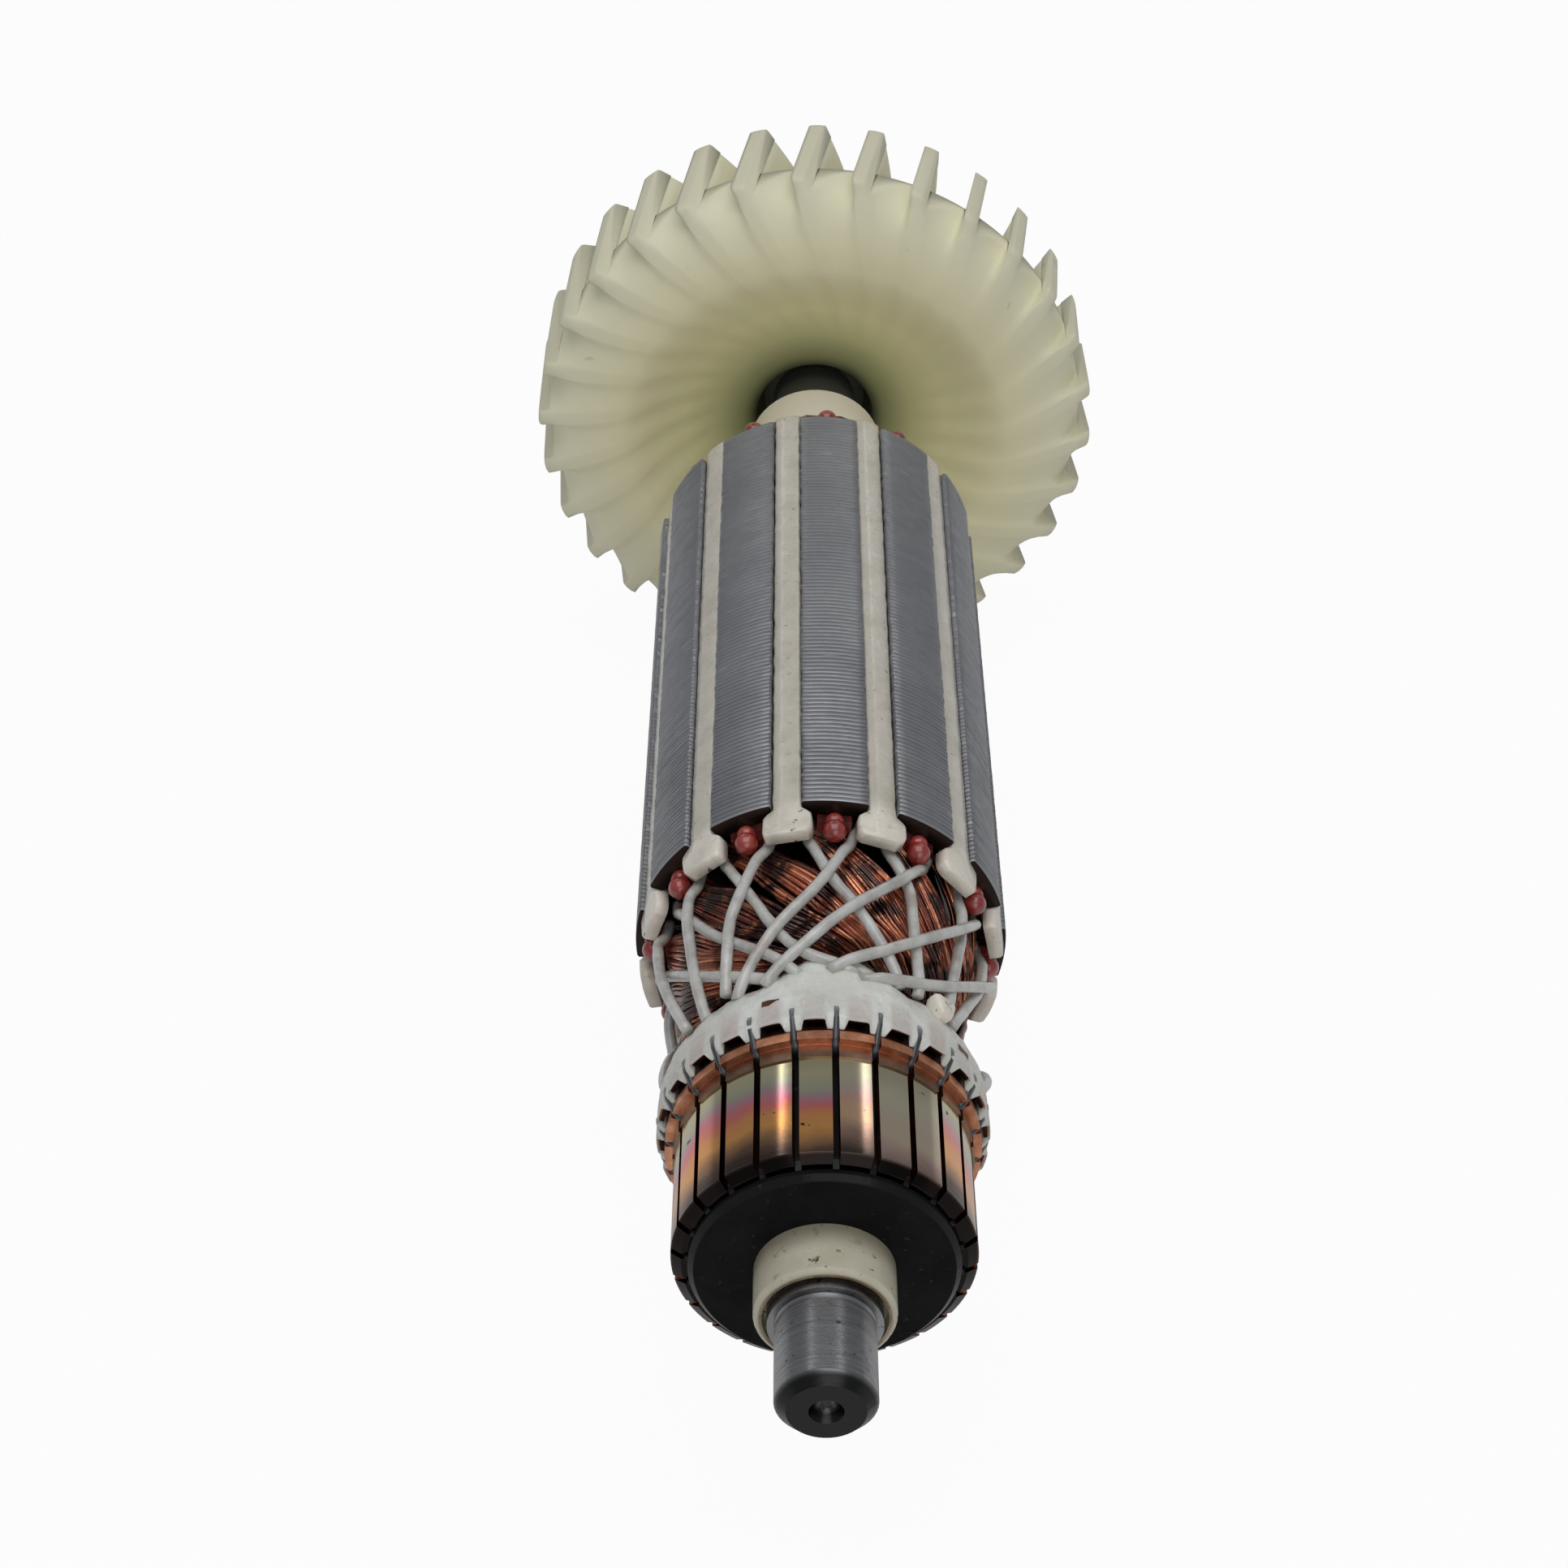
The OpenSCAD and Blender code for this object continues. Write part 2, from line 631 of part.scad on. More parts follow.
// A copper bar with its worn track, riser and hook.
module commutator_bar(i) {
    half_gap = bar_gap / 2;
    color(COPPER) along_shaft() at_angle(bar_angle(i)) {
        difference() {
            rotate([0, 0, -90 - bar_pitch / 2]) rotate_extrude(angle = bar_pitch) polygon([
                [bar_in_r, bar_end_y], [track_r - bar_chamfer * 1.5, bar_end_y],
                [track_r, bar_end_y + bar_chamfer], [track_r, band_front_y],
                [track_r + band_h, band_front_y], [track_r + band_h, riser_front_y],
                [riser_r, riser_front_y], [riser_r, riser_back_y], [bar_in_r, riser_back_y]
            ]);
            for (side = [-1, 1]) rotate([0, 0, side * bar_pitch / 2])
                translate([-half_gap, -riser_r - 1, bar_end_y - 1])
                    cube([bar_gap, riser_r + 1, riser_back_y - bar_end_y + 2]);
        }
        translate([hook_w / 2, 0, 0]) rotate([0, -90, 0]) linear_extrude(hook_w) hook_outline();
    }
}

// Side view of the hook: [distance along the shaft, minus the height].
module hook_outline() {
    foot = riser_r - 0.1;
    under = riser_r + hook_rise;
    top = under + hook_t;
    polygon([
        [hook_back_y, -foot], [hook_back_y, -top + 0.1], [hook_back_y - 0.3, -top],
        [hook_front_y + 0.2, -top], [hook_front_y, -top + 0.15], [hook_front_y, -under],
        [hook_back_y - 1.4, -under], [hook_back_y - 1.2, -foot]
    ]);
}

// Resin that holds the leads in the hooks.
module riser_resin_band() {
    seat_r = riser_r + CLEAR;
    len = resin_back_y - resin_front_y;
    color(RESIN) along_shaft() difference() {
        turned([
            [resin_front_y, seat_r], [resin_front_y, seat_r + 0.1],
            [resin_front_y + 0.3, resin_r - 0.15], [resin_front_y + 1.4, resin_r],
            [resin_front_y + len * 0.52, resin_r - 0.15],
            [resin_front_y + len * 0.88, resin_r - 0.65], [resin_back_y, resin_r - 1.35],
            [resin_back_y, resin_bore / 2], [riser_back_y + CLEAR, resin_bore / 2],
            [riser_back_y + CLEAR, seat_r]
        ]);
        for (i = [1:bar_count]) at_angle(bar_angle(i))
            translate([-hook_w / 2 - CLEAR, -riser_r - hook_rise - hook_t - CLEAR, hook_front_y - 1])
                cube([hook_w + 2 * CLEAR, hook_rise + hook_t + 0.2, hook_back_y - hook_front_y + 1 + CLEAR]);
    }
}

// Fan stations.
fan_r = fan_d / 2;
disc_r = disc_d / 2;
crest_r = crest_d / 2;
fan_hub_r = fan_hub_d / 2;
hub_mouth_r = hub_mouth_d / 2;
crest_y = fan_tip_y - crest_h;
rim_y = fan_tip_y + 3.8;

// Front face of the disc from hub to rim, as [distance along the shaft, radius].
FAN_FACE = [
    [hub_y + 0.4, hub_mouth_r], [hub_y, hub_mouth_r + 0.5],
    [mix(hub_y, crest_y, 0.1), mix(hub_mouth_r, crest_r, 0.3)],
    [mix(hub_y, crest_y, 0.32), mix(hub_mouth_r, crest_r, 0.52)],
    [mix(hub_y, crest_y, 0.68), mix(hub_mouth_r, crest_r, 0.76)],
    [mix(hub_y, crest_y, 0.93), mix(hub_mouth_r, crest_r, 0.93)],
    [crest_y, crest_r + 0.6],
    [mix(crest_y, rim_y, 0.17), mix(crest_r, disc_r, 0.42)],
    [mix(crest_y, rim_y, 0.5), mix(crest_r, disc_r, 0.72)],
    [rim_y, disc_r]
];

module fan() {
    bore_r = fan_seat_d / 2 + CLEAR;
    color(NYLON) along_shaft() difference() {
        union() {
            turned(concat(
                [[hub_y + 0.4, bore_r - 0.5]], FAN_FACE,
                [for (p = reversed(FAN_FACE)) if (p[1] > fan_hub_r + 0.5) [p[0] + disc_t, p[1]]],
                [[hub_y + disc_t, fan_hub_r], [fan_back_y, fan_hub_r],
                 [fan_back_y, bore_r - 0.5]]
            ));
            intersection() {
                each_blade() blade();
                blade_envelope();
            }
            intersection() {
                each_blade() ridge();
                ridge_envelope();
            }
        }
        translate([0, 0, hub_y - 1]) cylinder(r = bore_r, h = fan_back_y - hub_y + 2);
        translate([0, 0, hub_y - 1]) cylinder(r = hub_mouth_r, h = hub_mouth_depth + 1);
    }
}

module each_blade()
    for (k = [0:blade_count - 1]) at_angle(blade_phase + k * 360 / blade_count) children();

// The space that the blades fill, from the disc's crest to the back of the fan.
module blade_envelope() {
    root_r = blade_root_d / 2;
    turned([
        [mix(hub_y, crest_y, 0.32) + disc_t / 2, root_r],
        [mix(hub_y, crest_y, 0.68) + disc_t / 2, mix(hub_mouth_r, crest_r, 0.76)],
        [crest_y + disc_t / 2, crest_r], [crest_y + 1, crest_r + 3],
        [fan_tip_y, fan_r - 0.3], [fan_tip_y + 0.6, fan_r], [fan_back_y - 0.6, fan_r],
        [fan_back_y, fan_r - 0.6], [fan_back_y, root_r + 2], [fan_back_y - 2, root_r]
    ]);
}

// The space that the ridges fill, from the crest to the rim and down into the disc.
module ridge_envelope() turned([
    [crest_y - 1, crest_r - 2], [crest_y - 1, disc_r - 0.3], [rim_y + disc_t / 2, disc_r - 0.3],
    [mix(crest_y, rim_y, 0.5) + disc_t / 2, mix(crest_r, disc_r, 0.72)],
    [mix(crest_y, rim_y, 0.17) + disc_t / 2, mix(crest_r, disc_r, 0.42)],
    [crest_y + disc_t / 2, crest_r - 2]
]);

// Angle of a blade's middle line at radius r, from its tip.
function sweep_angle(r) = ln(fan_r / r) * tan(blade_sweep) * 180 / PI;

// One swept blade at the top, its tip edge leaning off the shaft axis.
module blade() {
    radii = [for (k = [0:8]) mix(fan_r + 1, blade_root_d / 2 - 1, k / 8)];
    mid_y = (fan_tip_y + fan_back_y) / 2;
    function at(r, side) =
        let (a = sweep_angle(r), t = side * blade_t / 2)
        [r * sin(a) + t * cos(a + blade_sweep), -r * cos(a) + t * sin(a + blade_sweep)];
    translate([0, 0, mid_y]) rotate([0, blade_lean, 0]) linear_extrude(blade_w * 1.6, center = true)
        polygon(concat([for (r = radii) at(r, 1)], [for (r = reversed(radii)) at(r, -1)]));
}

// The rounded ridge in front of a blade: a cone that widens towards the rim.
module ridge() {
    w0 = 0.9;
    w1 = ridge_w / 2;
    lean = tan(blade_lean) * blade_w / 2;
    function at(r, y, shift) =
        [r * sin(sweep_angle(r)) - shift, -r * cos(sweep_angle(r)), y];
    inner = at(crest_r - 1, crest_y - 0.1 + w0, lean);
    outer = at(fan_r + 0.4, fan_tip_y - 0.1 + w1, lean);
    d = outer - inner;
    translate(inner) rotate([0, acos(d[2] / norm(d)), atan2(d[1], d[0])])
        cylinder(h = norm(d), r1 = w0, r2 = w1, $fn = 48);
}

shaft();
insulating_sleeve();
lamination_stack();
slot_liners();
front_end_insulator();
rear_end_insulator();
for (i = [1:tooth_count]) slot_wedge(i);
for (i = [1:tooth_count]) coil(i);
start_leads();
finish_leads();
commutator_hub();
for (i = [1:bar_count]) commutator_bar(i);
riser_resin_band();
fan();
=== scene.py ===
import math
import random
from bisect import bisect_right

import bmesh
import bpy
from mathutils import Matrix, Vector, noise


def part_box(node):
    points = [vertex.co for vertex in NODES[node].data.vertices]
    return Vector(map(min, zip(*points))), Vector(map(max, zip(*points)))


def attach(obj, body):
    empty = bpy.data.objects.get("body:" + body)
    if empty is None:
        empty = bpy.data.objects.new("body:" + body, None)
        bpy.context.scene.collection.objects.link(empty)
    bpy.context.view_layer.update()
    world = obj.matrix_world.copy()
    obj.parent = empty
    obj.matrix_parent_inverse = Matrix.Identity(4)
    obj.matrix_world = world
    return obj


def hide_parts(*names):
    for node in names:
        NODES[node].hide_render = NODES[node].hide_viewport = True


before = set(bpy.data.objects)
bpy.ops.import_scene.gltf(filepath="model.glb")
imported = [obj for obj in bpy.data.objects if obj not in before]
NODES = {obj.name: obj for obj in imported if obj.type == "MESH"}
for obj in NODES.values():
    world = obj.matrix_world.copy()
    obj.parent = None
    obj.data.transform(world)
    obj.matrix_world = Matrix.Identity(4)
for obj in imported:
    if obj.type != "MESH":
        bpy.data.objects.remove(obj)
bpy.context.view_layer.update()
MM = 0.001
TAU = 2 * math.pi


# ---------------------------------------------------------------- measures
def span(node):
    """(lowest y, highest y, largest radius from the shaft) of a node, in mm."""
    lo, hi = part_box(node)
    r = max(math.hypot(v.co.x, v.co.z) for v in NODES[node].data.vertices)
    return lo[1] / MM, hi[1] / MM, r / MM


def radius_before(node, y):
    """Largest radius of the part of a node in front of a station, in mm."""
    return max(math.hypot(v.co.x, v.co.z) for v in NODES[node].data.vertices if v.co.y < y * MM) / MM


CORE_Y0, CORE_Y1, CORE_R = span("lamination_stack")
CORE_MID = (CORE_Y0 + CORE_Y1) / 2
CORE_HALF = (CORE_Y1 - CORE_Y0) / 2
SHEET = 0.5                 # thickness of a lamination
HUB_Y0 = span("commutator_hub")[0]
HUB_FACE_R = radius_before("commutator_hub", HUB_Y0 + 0.1) + 0.4
SLEEVE_Y0, SLEEVE_Y1, SLEEVE_R = span("insulating_sleeve")
SLEEVE_FRONT_R = radius_before("insulating_sleeve", HUB_Y0)
SHAFT_Y0 = span("shaft")[0]
RESIN_Y0, RESIN_Y1, _ = span("riser_resin_band")
COIL_Y0, COIL_Y1, _ = span("coil_01")
_, FAN_Y1, FAN_R = span("fan")

BAR_Y0 = span("commutator_bar_01")[0]
BARS = 24
BAR_PITCH = 15
BAR_PHASE = -2.5            # degrees of the bar nearest the top, clockwise from straight up
BAR_SHIFT = 0.5 - BAR_PHASE / BAR_PITCH   # starts each bar at a whole number, for angles counted in bars
TRACK_Y1 = BAR_Y0 + 9.3     # end of the brush track
TRACK_SIDE_R = 10.62        # below it, a bar shows its side
RISER_Y0 = TRACK_Y1 + 1.2
RISER_BACK = RISER_Y0 + 5.3
RISER_R = 11.45
RISER_FLOOR_R = 11.3        # bottom of the hollow under a hook
HOOK_R = 11.86

SLOTS = 12
SLOT_PITCH = 30
SLOT_PHASE = 20


# ---------------------------------------------------------------- node helpers
class Mat:
    """A small builder for procedural materials."""

    def __init__(self, name):
        self.m = bpy.data.materials.new(name)
        self.m.use_nodes = True
        self.t = self.m.node_tree
        self.t.nodes.clear()
        out = self.node("ShaderNodeOutputMaterial")
        self.b = self.node("ShaderNodeBsdfPrincipled")
        self.link(self.b.outputs[0], out.inputs[0])
        # Object coordinates are the row frame in metres, since pieces sit at the origin.
        self.pos = self.node("ShaderNodeTexCoord").outputs["Object"]

    def set(self, **inputs):
        for key, value in inputs.items():
            name = key.replace("_", " ").title().replace("Ior", "IOR")
            self.b.inputs[name].default_value = value

    def node(self, kind, **props):
        n = self.t.nodes.new(kind)
        for k, v in props.items():
            setattr(n, k, v)
        return n

    def link(self, a, b):
        self.t.links.new(a, b)

    def feed(self, value, socket):
        """Sets a socket to a number or a colour, or links it."""
        if isinstance(value, tuple):
            socket.default_value = (*value, 1)
        elif isinstance(value, (int, float)):
            socket.default_value = value
        else:
            self.link(value, socket)

    def math(self, op, *values):
        n = self.node("ShaderNodeMath", operation=op)
        for value, socket in zip(values, n.inputs):
            self.feed(value, socket)
        return n.outputs[0]

    def mul(self, a, b):
        return self.math("MULTIPLY", a, b)

    def add(self, a, b):
        return self.math("ADD", a, b)

    def off(self, a, middle):
        """Distance of a value from a middle."""
        return self.math("ABSOLUTE", self.add(a, -middle))

    def polar(self):
        """(angle from straight up towards +X in turns, radius in mm, y in mm)."""
        split = self.node("ShaderNodeSeparateXYZ")
        self.link(self.pos, split.inputs[0])
        x, y, z = split.outputs
        a = self.mul(self.math("ARCTAN2", x, z), 1 / TAU)
        r = self.math("SQRT", self.add(self.mul(x, x), self.mul(z, z)))
        return a, self.mul(r, 1 / MM), self.mul(y, 1 / MM)

    def vec(self, *values):
        n = self.node("ShaderNodeCombineXYZ")
        for value, socket in zip(values, n.inputs):
            self.feed(value, socket)
        return n.outputs[0]

    def noise(self, scale, detail=3, rough=0.5, vec=None):
        """Noise at a scale in cells per metre."""
        n = self.node("ShaderNodeTexNoise")
        n.inputs["Scale"].default_value = scale
        n.inputs["Detail"].default_value = detail
        n.inputs["Roughness"].default_value = rough
        self.link(vec or self.pos, n.inputs["Vector"])
        return n.outputs["Fac"]

    def random(self, number):
        """A random value from 0 to 1 for each whole number."""
        n = self.node("ShaderNodeTexWhiteNoise", noise_dimensions="1D")
        self.link(number, n.inputs["W"])
        return n.outputs["Value"]

    def ramp(self, fac, stops, interp="LINEAR"):
        n = self.node("ShaderNodeValToRGB")
        n.color_ramp.interpolation = interp
        el = n.color_ramp.elements
        while len(el) < len(stops):
            el.new(0.5)
        for e, (p, c) in zip(el, stops):
            e.position = p
            e.color = (*c, 1)
        self.link(fac, n.inputs[0])
        return n.outputs[0]

    def between(self, v, lo, hi, a=0.0, b=1.0, smooth=True):
        """Maps v from lo..hi to a..b, clamped."""
        n = self.node("ShaderNodeMapRange")
        n.interpolation_type = "SMOOTHSTEP" if smooth else "LINEAR"
        n.clamp = True
        for k, x in zip(("From Min", "From Max", "To Min", "To Max"), (lo, hi, a, b)):
            n.inputs[k].default_value = x
        self.link(v, n.inputs["Value"])
        return n.outputs["Result"]

    def mix(self, fac, a, b):
        n = self.node("ShaderNodeMix", data_type="RGBA")
        n.clamp_factor = True
        self.feed(fac, n.inputs["Factor"])
        for name, value in (("A", a), ("B", b)):
            self.feed(value, next(i for i in n.inputs if i.name == name and i.type == "RGBA"))
        return next(o for o in n.outputs if o.type == "RGBA")

    def color(self, c):
        self.link(c, self.b.inputs["Base Color"])

    def rough(self, v):
        self.link(v, self.b.inputs["Roughness"])

    def bump(self, height, dist=0.0001, strength=1.0):
        """Bump from a height in units of dist metres."""
        n = self.node("ShaderNodeBump")
        n.inputs["Strength"].default_value = strength
        n.inputs["Distance"].default_value = dist
        self.link(height, n.inputs["Height"])
        normal = self.b.inputs["Normal"]
        if normal.links:
            self.link(normal.links[0].from_socket, n.inputs["Normal"])
        self.link(n.outputs[0], normal)


def use(obj, mat):
    obj.data.materials.clear()
    obj.data.materials.append(mat.m)


def smooth_by_angle(obj, deg):
    for p in obj.data.polygons:
        p.use_smooth = True
    with bpy.context.temp_override(object=obj, active_object=obj, selected_objects=[obj]):
        bpy.ops.object.shade_smooth_by_angle(angle=math.radians(deg), keep_sharp_edges=True)


def mesh_piece(name, verts, faces, mat):
    me = bpy.data.meshes.new(name)
    me.from_pydata([Vector(v) * MM for v in verts], [], faces)
    me.validate()
    bm = bmesh.new()
    bm.from_mesh(me)
    bmesh.ops.recalc_face_normals(bm, faces=bm.faces)
    bm.to_mesh(me)
    bm.free()
    ob = bpy.data.objects.new(name, me)
    bpy.context.scene.collection.objects.link(ob)
    for p in me.polygons:
        p.use_smooth = True
    use(ob, mat)
    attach(ob, "root")
    return ob


def cyl(r, deg, y):
    """A point from radius, angle from straight up towards +X, and station, in mm."""
    a = math.radians(deg)
    return (r * math.sin(a), y, r * math.cos(a))


# ---------------------------------------------------------------- materials
def steel_shaft():
    m = Mat("ground_steel")
    a, r, y = m.polar()
    ring = m.noise(1, 4, 0.7, vec=m.vec(m.mul(y, 9), m.mul(a, 2), r))
    blot = m.noise(330, 5, 0.6)
    pits = m.noise(1900, 3, 0.6)
    base = m.ramp(ring, [(0.3, (0.22, 0.22, 0.225)), (0.55, (0.33, 0.33, 0.335)), (0.8, (0.43, 0.43, 0.43))])
    stain = m.mix(m.between(blot, 0.56, 0.74), base, (0.12, 0.115, 0.11))
    stain = m.mix(m.between(pits, 0.64, 0.72), stain, (0.10, 0.09, 0.08))
    dark_end = m.between(y, SHAFT_Y0 + 0.95, SHAFT_Y0 + 0.5)
    stain = m.mix(dark_end, stain, (0.035, 0.035, 0.034))
    in_hub = m.mul(m.between(y, SLEEVE_Y1 - 1.0, SLEEVE_Y1 + 0.2), m.between(y, FAN_Y1, FAN_Y1 - 0.5))
    m.color(m.mix(in_hub, stain, (0.20, 0.20, 0.175)))
    m.rough(m.mix(in_hub, m.ramp(ring, [(0.3, (0.32,) * 3), (0.8, (0.2,) * 3)]), (0.75, 0.75, 0.75)))
    m.set(metallic=1.0)
    m.bump(m.add(ring, m.mul(pits, 0.5)), 0.00002, 0.6)
    return m


def sleeve_cream():
    m = Mat("cream_moulding")
    _, r, y = m.polar()
    cloud = m.noise(260, 4, 0.6)
    base = m.ramp(cloud, [(0.3, (0.50, 0.45, 0.33)), (0.6, (0.60, 0.56, 0.44)), (0.8, (0.68, 0.64, 0.51))])
    specks = m.noise(1500, 2, 0.7)
    dirt = m.mix(m.between(specks, 0.66, 0.74), base, (0.09, 0.07, 0.05))
    big = m.noise(620, 3, 0.7)
    dirt = m.mix(m.mul(m.between(big, 0.60, 0.72), 0.55), dirt, (0.20, 0.16, 0.10))
    mouth = m.mul(m.between(y, SLEEVE_Y0 + 0.5, SLEEVE_Y0 + 0.05),
                  m.between(r, SLEEVE_FRONT_R - 0.25, SLEEVE_FRONT_R - 0.5))
    dirt = m.mix(m.mul(mouth, m.between(cloud, 0.35, 0.6, 0.5, 1.0)), dirt, (0.16, 0.08, 0.03))
    grime = m.between(m.add(y, m.mul(cloud, 2.2)), HUB_Y0 - 0.9, HUB_Y0 + 1.0)
    near = m.mul(grime, m.between(y, HUB_Y0 + 3, HUB_Y0 + 1))
    dirt = m.mix(m.mul(near, 0.62), dirt, (0.17, 0.14, 0.09))
    rear = m.between(y, CORE_Y1 - 10, CORE_Y1)
    m.color(m.mix(m.mul(rear, 0.75), dirt, (0.86, 0.80, 0.66)))
    m.set(roughness=0.38, specular_ior_level=0.5, coat_weight=0.15, coat_roughness=0.2)
    m.set(subsurface_weight=0.1, subsurface_scale=0.001, subsurface_radius=(1, 0.8, 0.5))
    m.bump(m.add(cloud, m.mul(specks, -0.4)), 0.00006, 0.5)
    return m


def stack_iron():
    m = Mat("lamination_steel")
    a, _, y = m.polar()
    sheets = m.mul(m.add(y, -CORE_Y0), 1 / SHEET)
    sheet = m.math("FLOOR", sheets)
    tone = m.random(sheet)
    turn = m.noise(1, 3, 0.6, vec=m.vec(m.mul(sheet, 1.7), m.mul(a, 40), 0))
    cloud = m.noise(140, 4, 0.6)
    base = m.ramp(cloud, [(0.3, (0.295, 0.30, 0.318)), (0.55, (0.35, 0.353, 0.37)),
                          (0.8, (0.41, 0.412, 0.428))])
    base = m.mix(m.mul(m.between(turn, 0.35, 0.75), 0.3), base, (0.19, 0.193, 0.205))
    near = m.between(y, CORE_Y0 + 30, CORE_Y0 + 4, 0.25, 1.0)
    base = m.mix(m.mul(m.mul(m.between(tone, 0.75, 1.0), near), 0.3), base, (0.42, 0.422, 0.43))
    line = m.between(m.off(m.math("FRACT", sheets), 0.5), 0.37, 0.46)
    wear = m.noise(1, 4, 0.55, vec=m.vec(m.mul(y, 0.35), m.mul(a, 60), 3.0))
    worn = m.mul(m.between(wear, 0.3, 0.6, 0.25, 0.85), near)
    base = m.mix(m.mul(line, worn), base, (0.05, 0.052, 0.058))
    scratch = m.noise(1, 2, 0.5, vec=m.vec(m.mul(y, 3.2), m.mul(a, 26), 9.0))
    base = m.mix(m.mul(m.between(scratch, 0.69, 0.75), 0.7), base, (0.62, 0.62, 0.62))
    # Painted highlight: a lighter band along both ends of the stack, where the edges catch the light.
    end = m.between(m.off(y, CORE_MID), CORE_HALF - 0.6, CORE_HALF - 0.1)
    base = m.mix(m.mul(end, 0.35), base, (0.5, 0.5, 0.51))
    # The stack's front face is painted near-black: partly dark varnish, partly painted shade.
    face = m.between(y, CORE_Y0 + 0.06, CORE_Y0 + 0.03)
    m.color(m.mix(face, base, (0.03, 0.016, 0.013)))
    m.rough(m.between(turn, 0.3, 0.8, 0.40, 0.55))
    m.set(metallic=0.85)
    return m


def wedge_cream():
    m = Mat("slot_wedge_strip")
    a, _, y = m.polar()
    cloud = m.noise(420, 4, 0.65)
    base = m.ramp(cloud, [(0.3, (0.68, 0.62, 0.53)), (0.55, (0.84, 0.78, 0.68)), (0.8, (0.92, 0.87, 0.77))])
    specks = m.noise(1300, 2, 0.6)
    base = m.mix(m.between(specks, 0.68, 0.76), base, (0.12, 0.08, 0.05))
    edge = m.noise(1, 4, 0.6, vec=m.vec(m.mul(y, 1.4), m.mul(a, 90), 0))
    base = m.mix(m.mul(m.between(edge, 0.58, 0.74), 0.5), base, (0.36, 0.31, 0.24))
    in_slot = m.between(y, CORE_Y0 - 0.6, CORE_Y0 + 1.5)
    m.color(m.mix(m.mul(in_slot, 0.42), base, (0.38, 0.365, 0.30)))
    m.rough(m.between(cloud, 0.3, 0.8, 0.34, 0.18))
    m.set(specular_ior_level=0.5, coat_weight=0.5, coat_roughness=0.12)
    m.set(subsurface_weight=0.12, subsurface_scale=0.0008)
    m.bump(m.noise(600, 3, 0.55), 0.00022, 0.7)
    return m


BOARD_R = 13.1              # the end boards are painted dark up to here, as dark varnish and painted shade under the end turns, and the liners' ends beyond it are red


def red_fibre():
    m = Mat("red_fibre")
    cloud = m.noise(700, 4, 0.6)
    _, r, y = m.polar()
    base = m.ramp(cloud, [(0.3, (0.16, 0.012, 0.010)), (0.55, (0.36, 0.038, 0.03)),
                          (0.8, (0.50, 0.09, 0.065))])
    # The end board's arms under the end turns are painted near-black: painted shade over dark varnish.
    board = m.between(m.off(y, CORE_MID), CORE_HALF + 0.86, CORE_HALF + 0.8)
    shaded_star = m.mul(board, m.between(r, BOARD_R + 0.15, BOARD_R))
    m.color(m.mix(shaded_star, base, (0.03, 0.012, 0.012)))
    m.set(roughness=0.24, specular_ior_level=0.6, coat_weight=1.0, coat_roughness=0.06)
    m.bump(cloud, 0.0002, 0.6)
    return m


def copper_winding():
    """Varnished wire: each strand has its own tone, with bright spots painted on as glints, over a near-black
    body that is painted shade.
    """
    m = Mat("enamelled_copper")
    tone = m.node("ShaderNodeAttribute", attribute_name="tone").outputs["Fac"]
    cloud = m.noise(420, 4, 0.6)
    fine = m.noise(1500, 3, 0.6)
    strand = m.ramp(tone, [(0.0, (0.14, 0.032, 0.020)), (0.35, (0.34, 0.085, 0.045)),
                           (0.7, (0.66, 0.20, 0.10)), (1.0, (0.95, 0.42, 0.22))])
    strand = m.mix(m.between(cloud, 0.56, 0.42), strand, (0.045, 0.014, 0.010))
    # Bright copper spots on the strands are painted glints.
    strand = m.mix(m.mul(m.between(fine, 0.60, 0.72), 0.6), strand, (0.95, 0.42, 0.20))
    # The body under the strands is painted near-black: painted shade in the gaps between the strands.
    core = m.between(tone, -0.5, -0.1)
    m.color(m.mix(core, (0.008, 0.004, 0.003), strand))
    m.set(metallic=0.85, roughness=0.26, coat_weight=0.7, coat_roughness=0.06)
    m.bump(m.noise(2500, 2, 0.5), 0.00006, 0.6)
    return m


def lead_white():
    m = Mat("lead_sleeving")
    cloud = m.noise(500, 4, 0.6)
    base = m.ramp(cloud, [(0.3, (0.42, 0.41, 0.38)), (0.55, (0.60, 0.60, 0.57)), (0.8, (0.72, 0.72, 0.70))])
    tint = m.noise(260, 3, 0.6)
    m.color(m.mix(m.mul(m.between(tint, 0.55, 0.72), 0.45), base, (0.36, 0.25, 0.20)))
    m.set(roughness=0.22, specular_ior_level=0.55, coat_weight=0.8, coat_roughness=0.1)
    m.set(subsurface_weight=0.2, subsurface_scale=0.0006)
    m.bump(m.noise(1600, 3, 0.6), 0.00012, 0.7)
    return m


def hub_black():
    m = Mat("black_moulding")
    _, r, y = m.polar()
    grain = m.noise(2600, 3, 0.6)
    cloud = m.noise(300, 4, 0.6)
    base = m.ramp(cloud, [(0.3, (0.007, 0.007, 0.007)), (0.7, (0.014, 0.014, 0.014))])
    dust = m.noise(1700, 2, 0.7)
    m.color(m.mix(m.mul(m.between(dust, 0.64, 0.72), 0.4), base, (0.07, 0.068, 0.066)))
    flange = m.mul(m.between(r, HUB_FACE_R - 0.5, HUB_FACE_R - 0.3),
                   m.between(y, BAR_Y0 + 0.9, BAR_Y0 + 0.6))
    m.rough(m.mix(flange, (0.45, 0.45, 0.45), (0.16, 0.16, 0.16)))
    m.link(m.mix(flange, (0.03, 0.03, 0.03), (0.16, 0.16, 0.16)), m.b.inputs["Specular IOR Level"])
    m.bump(grain, 0.00003, 0.6)
    return m


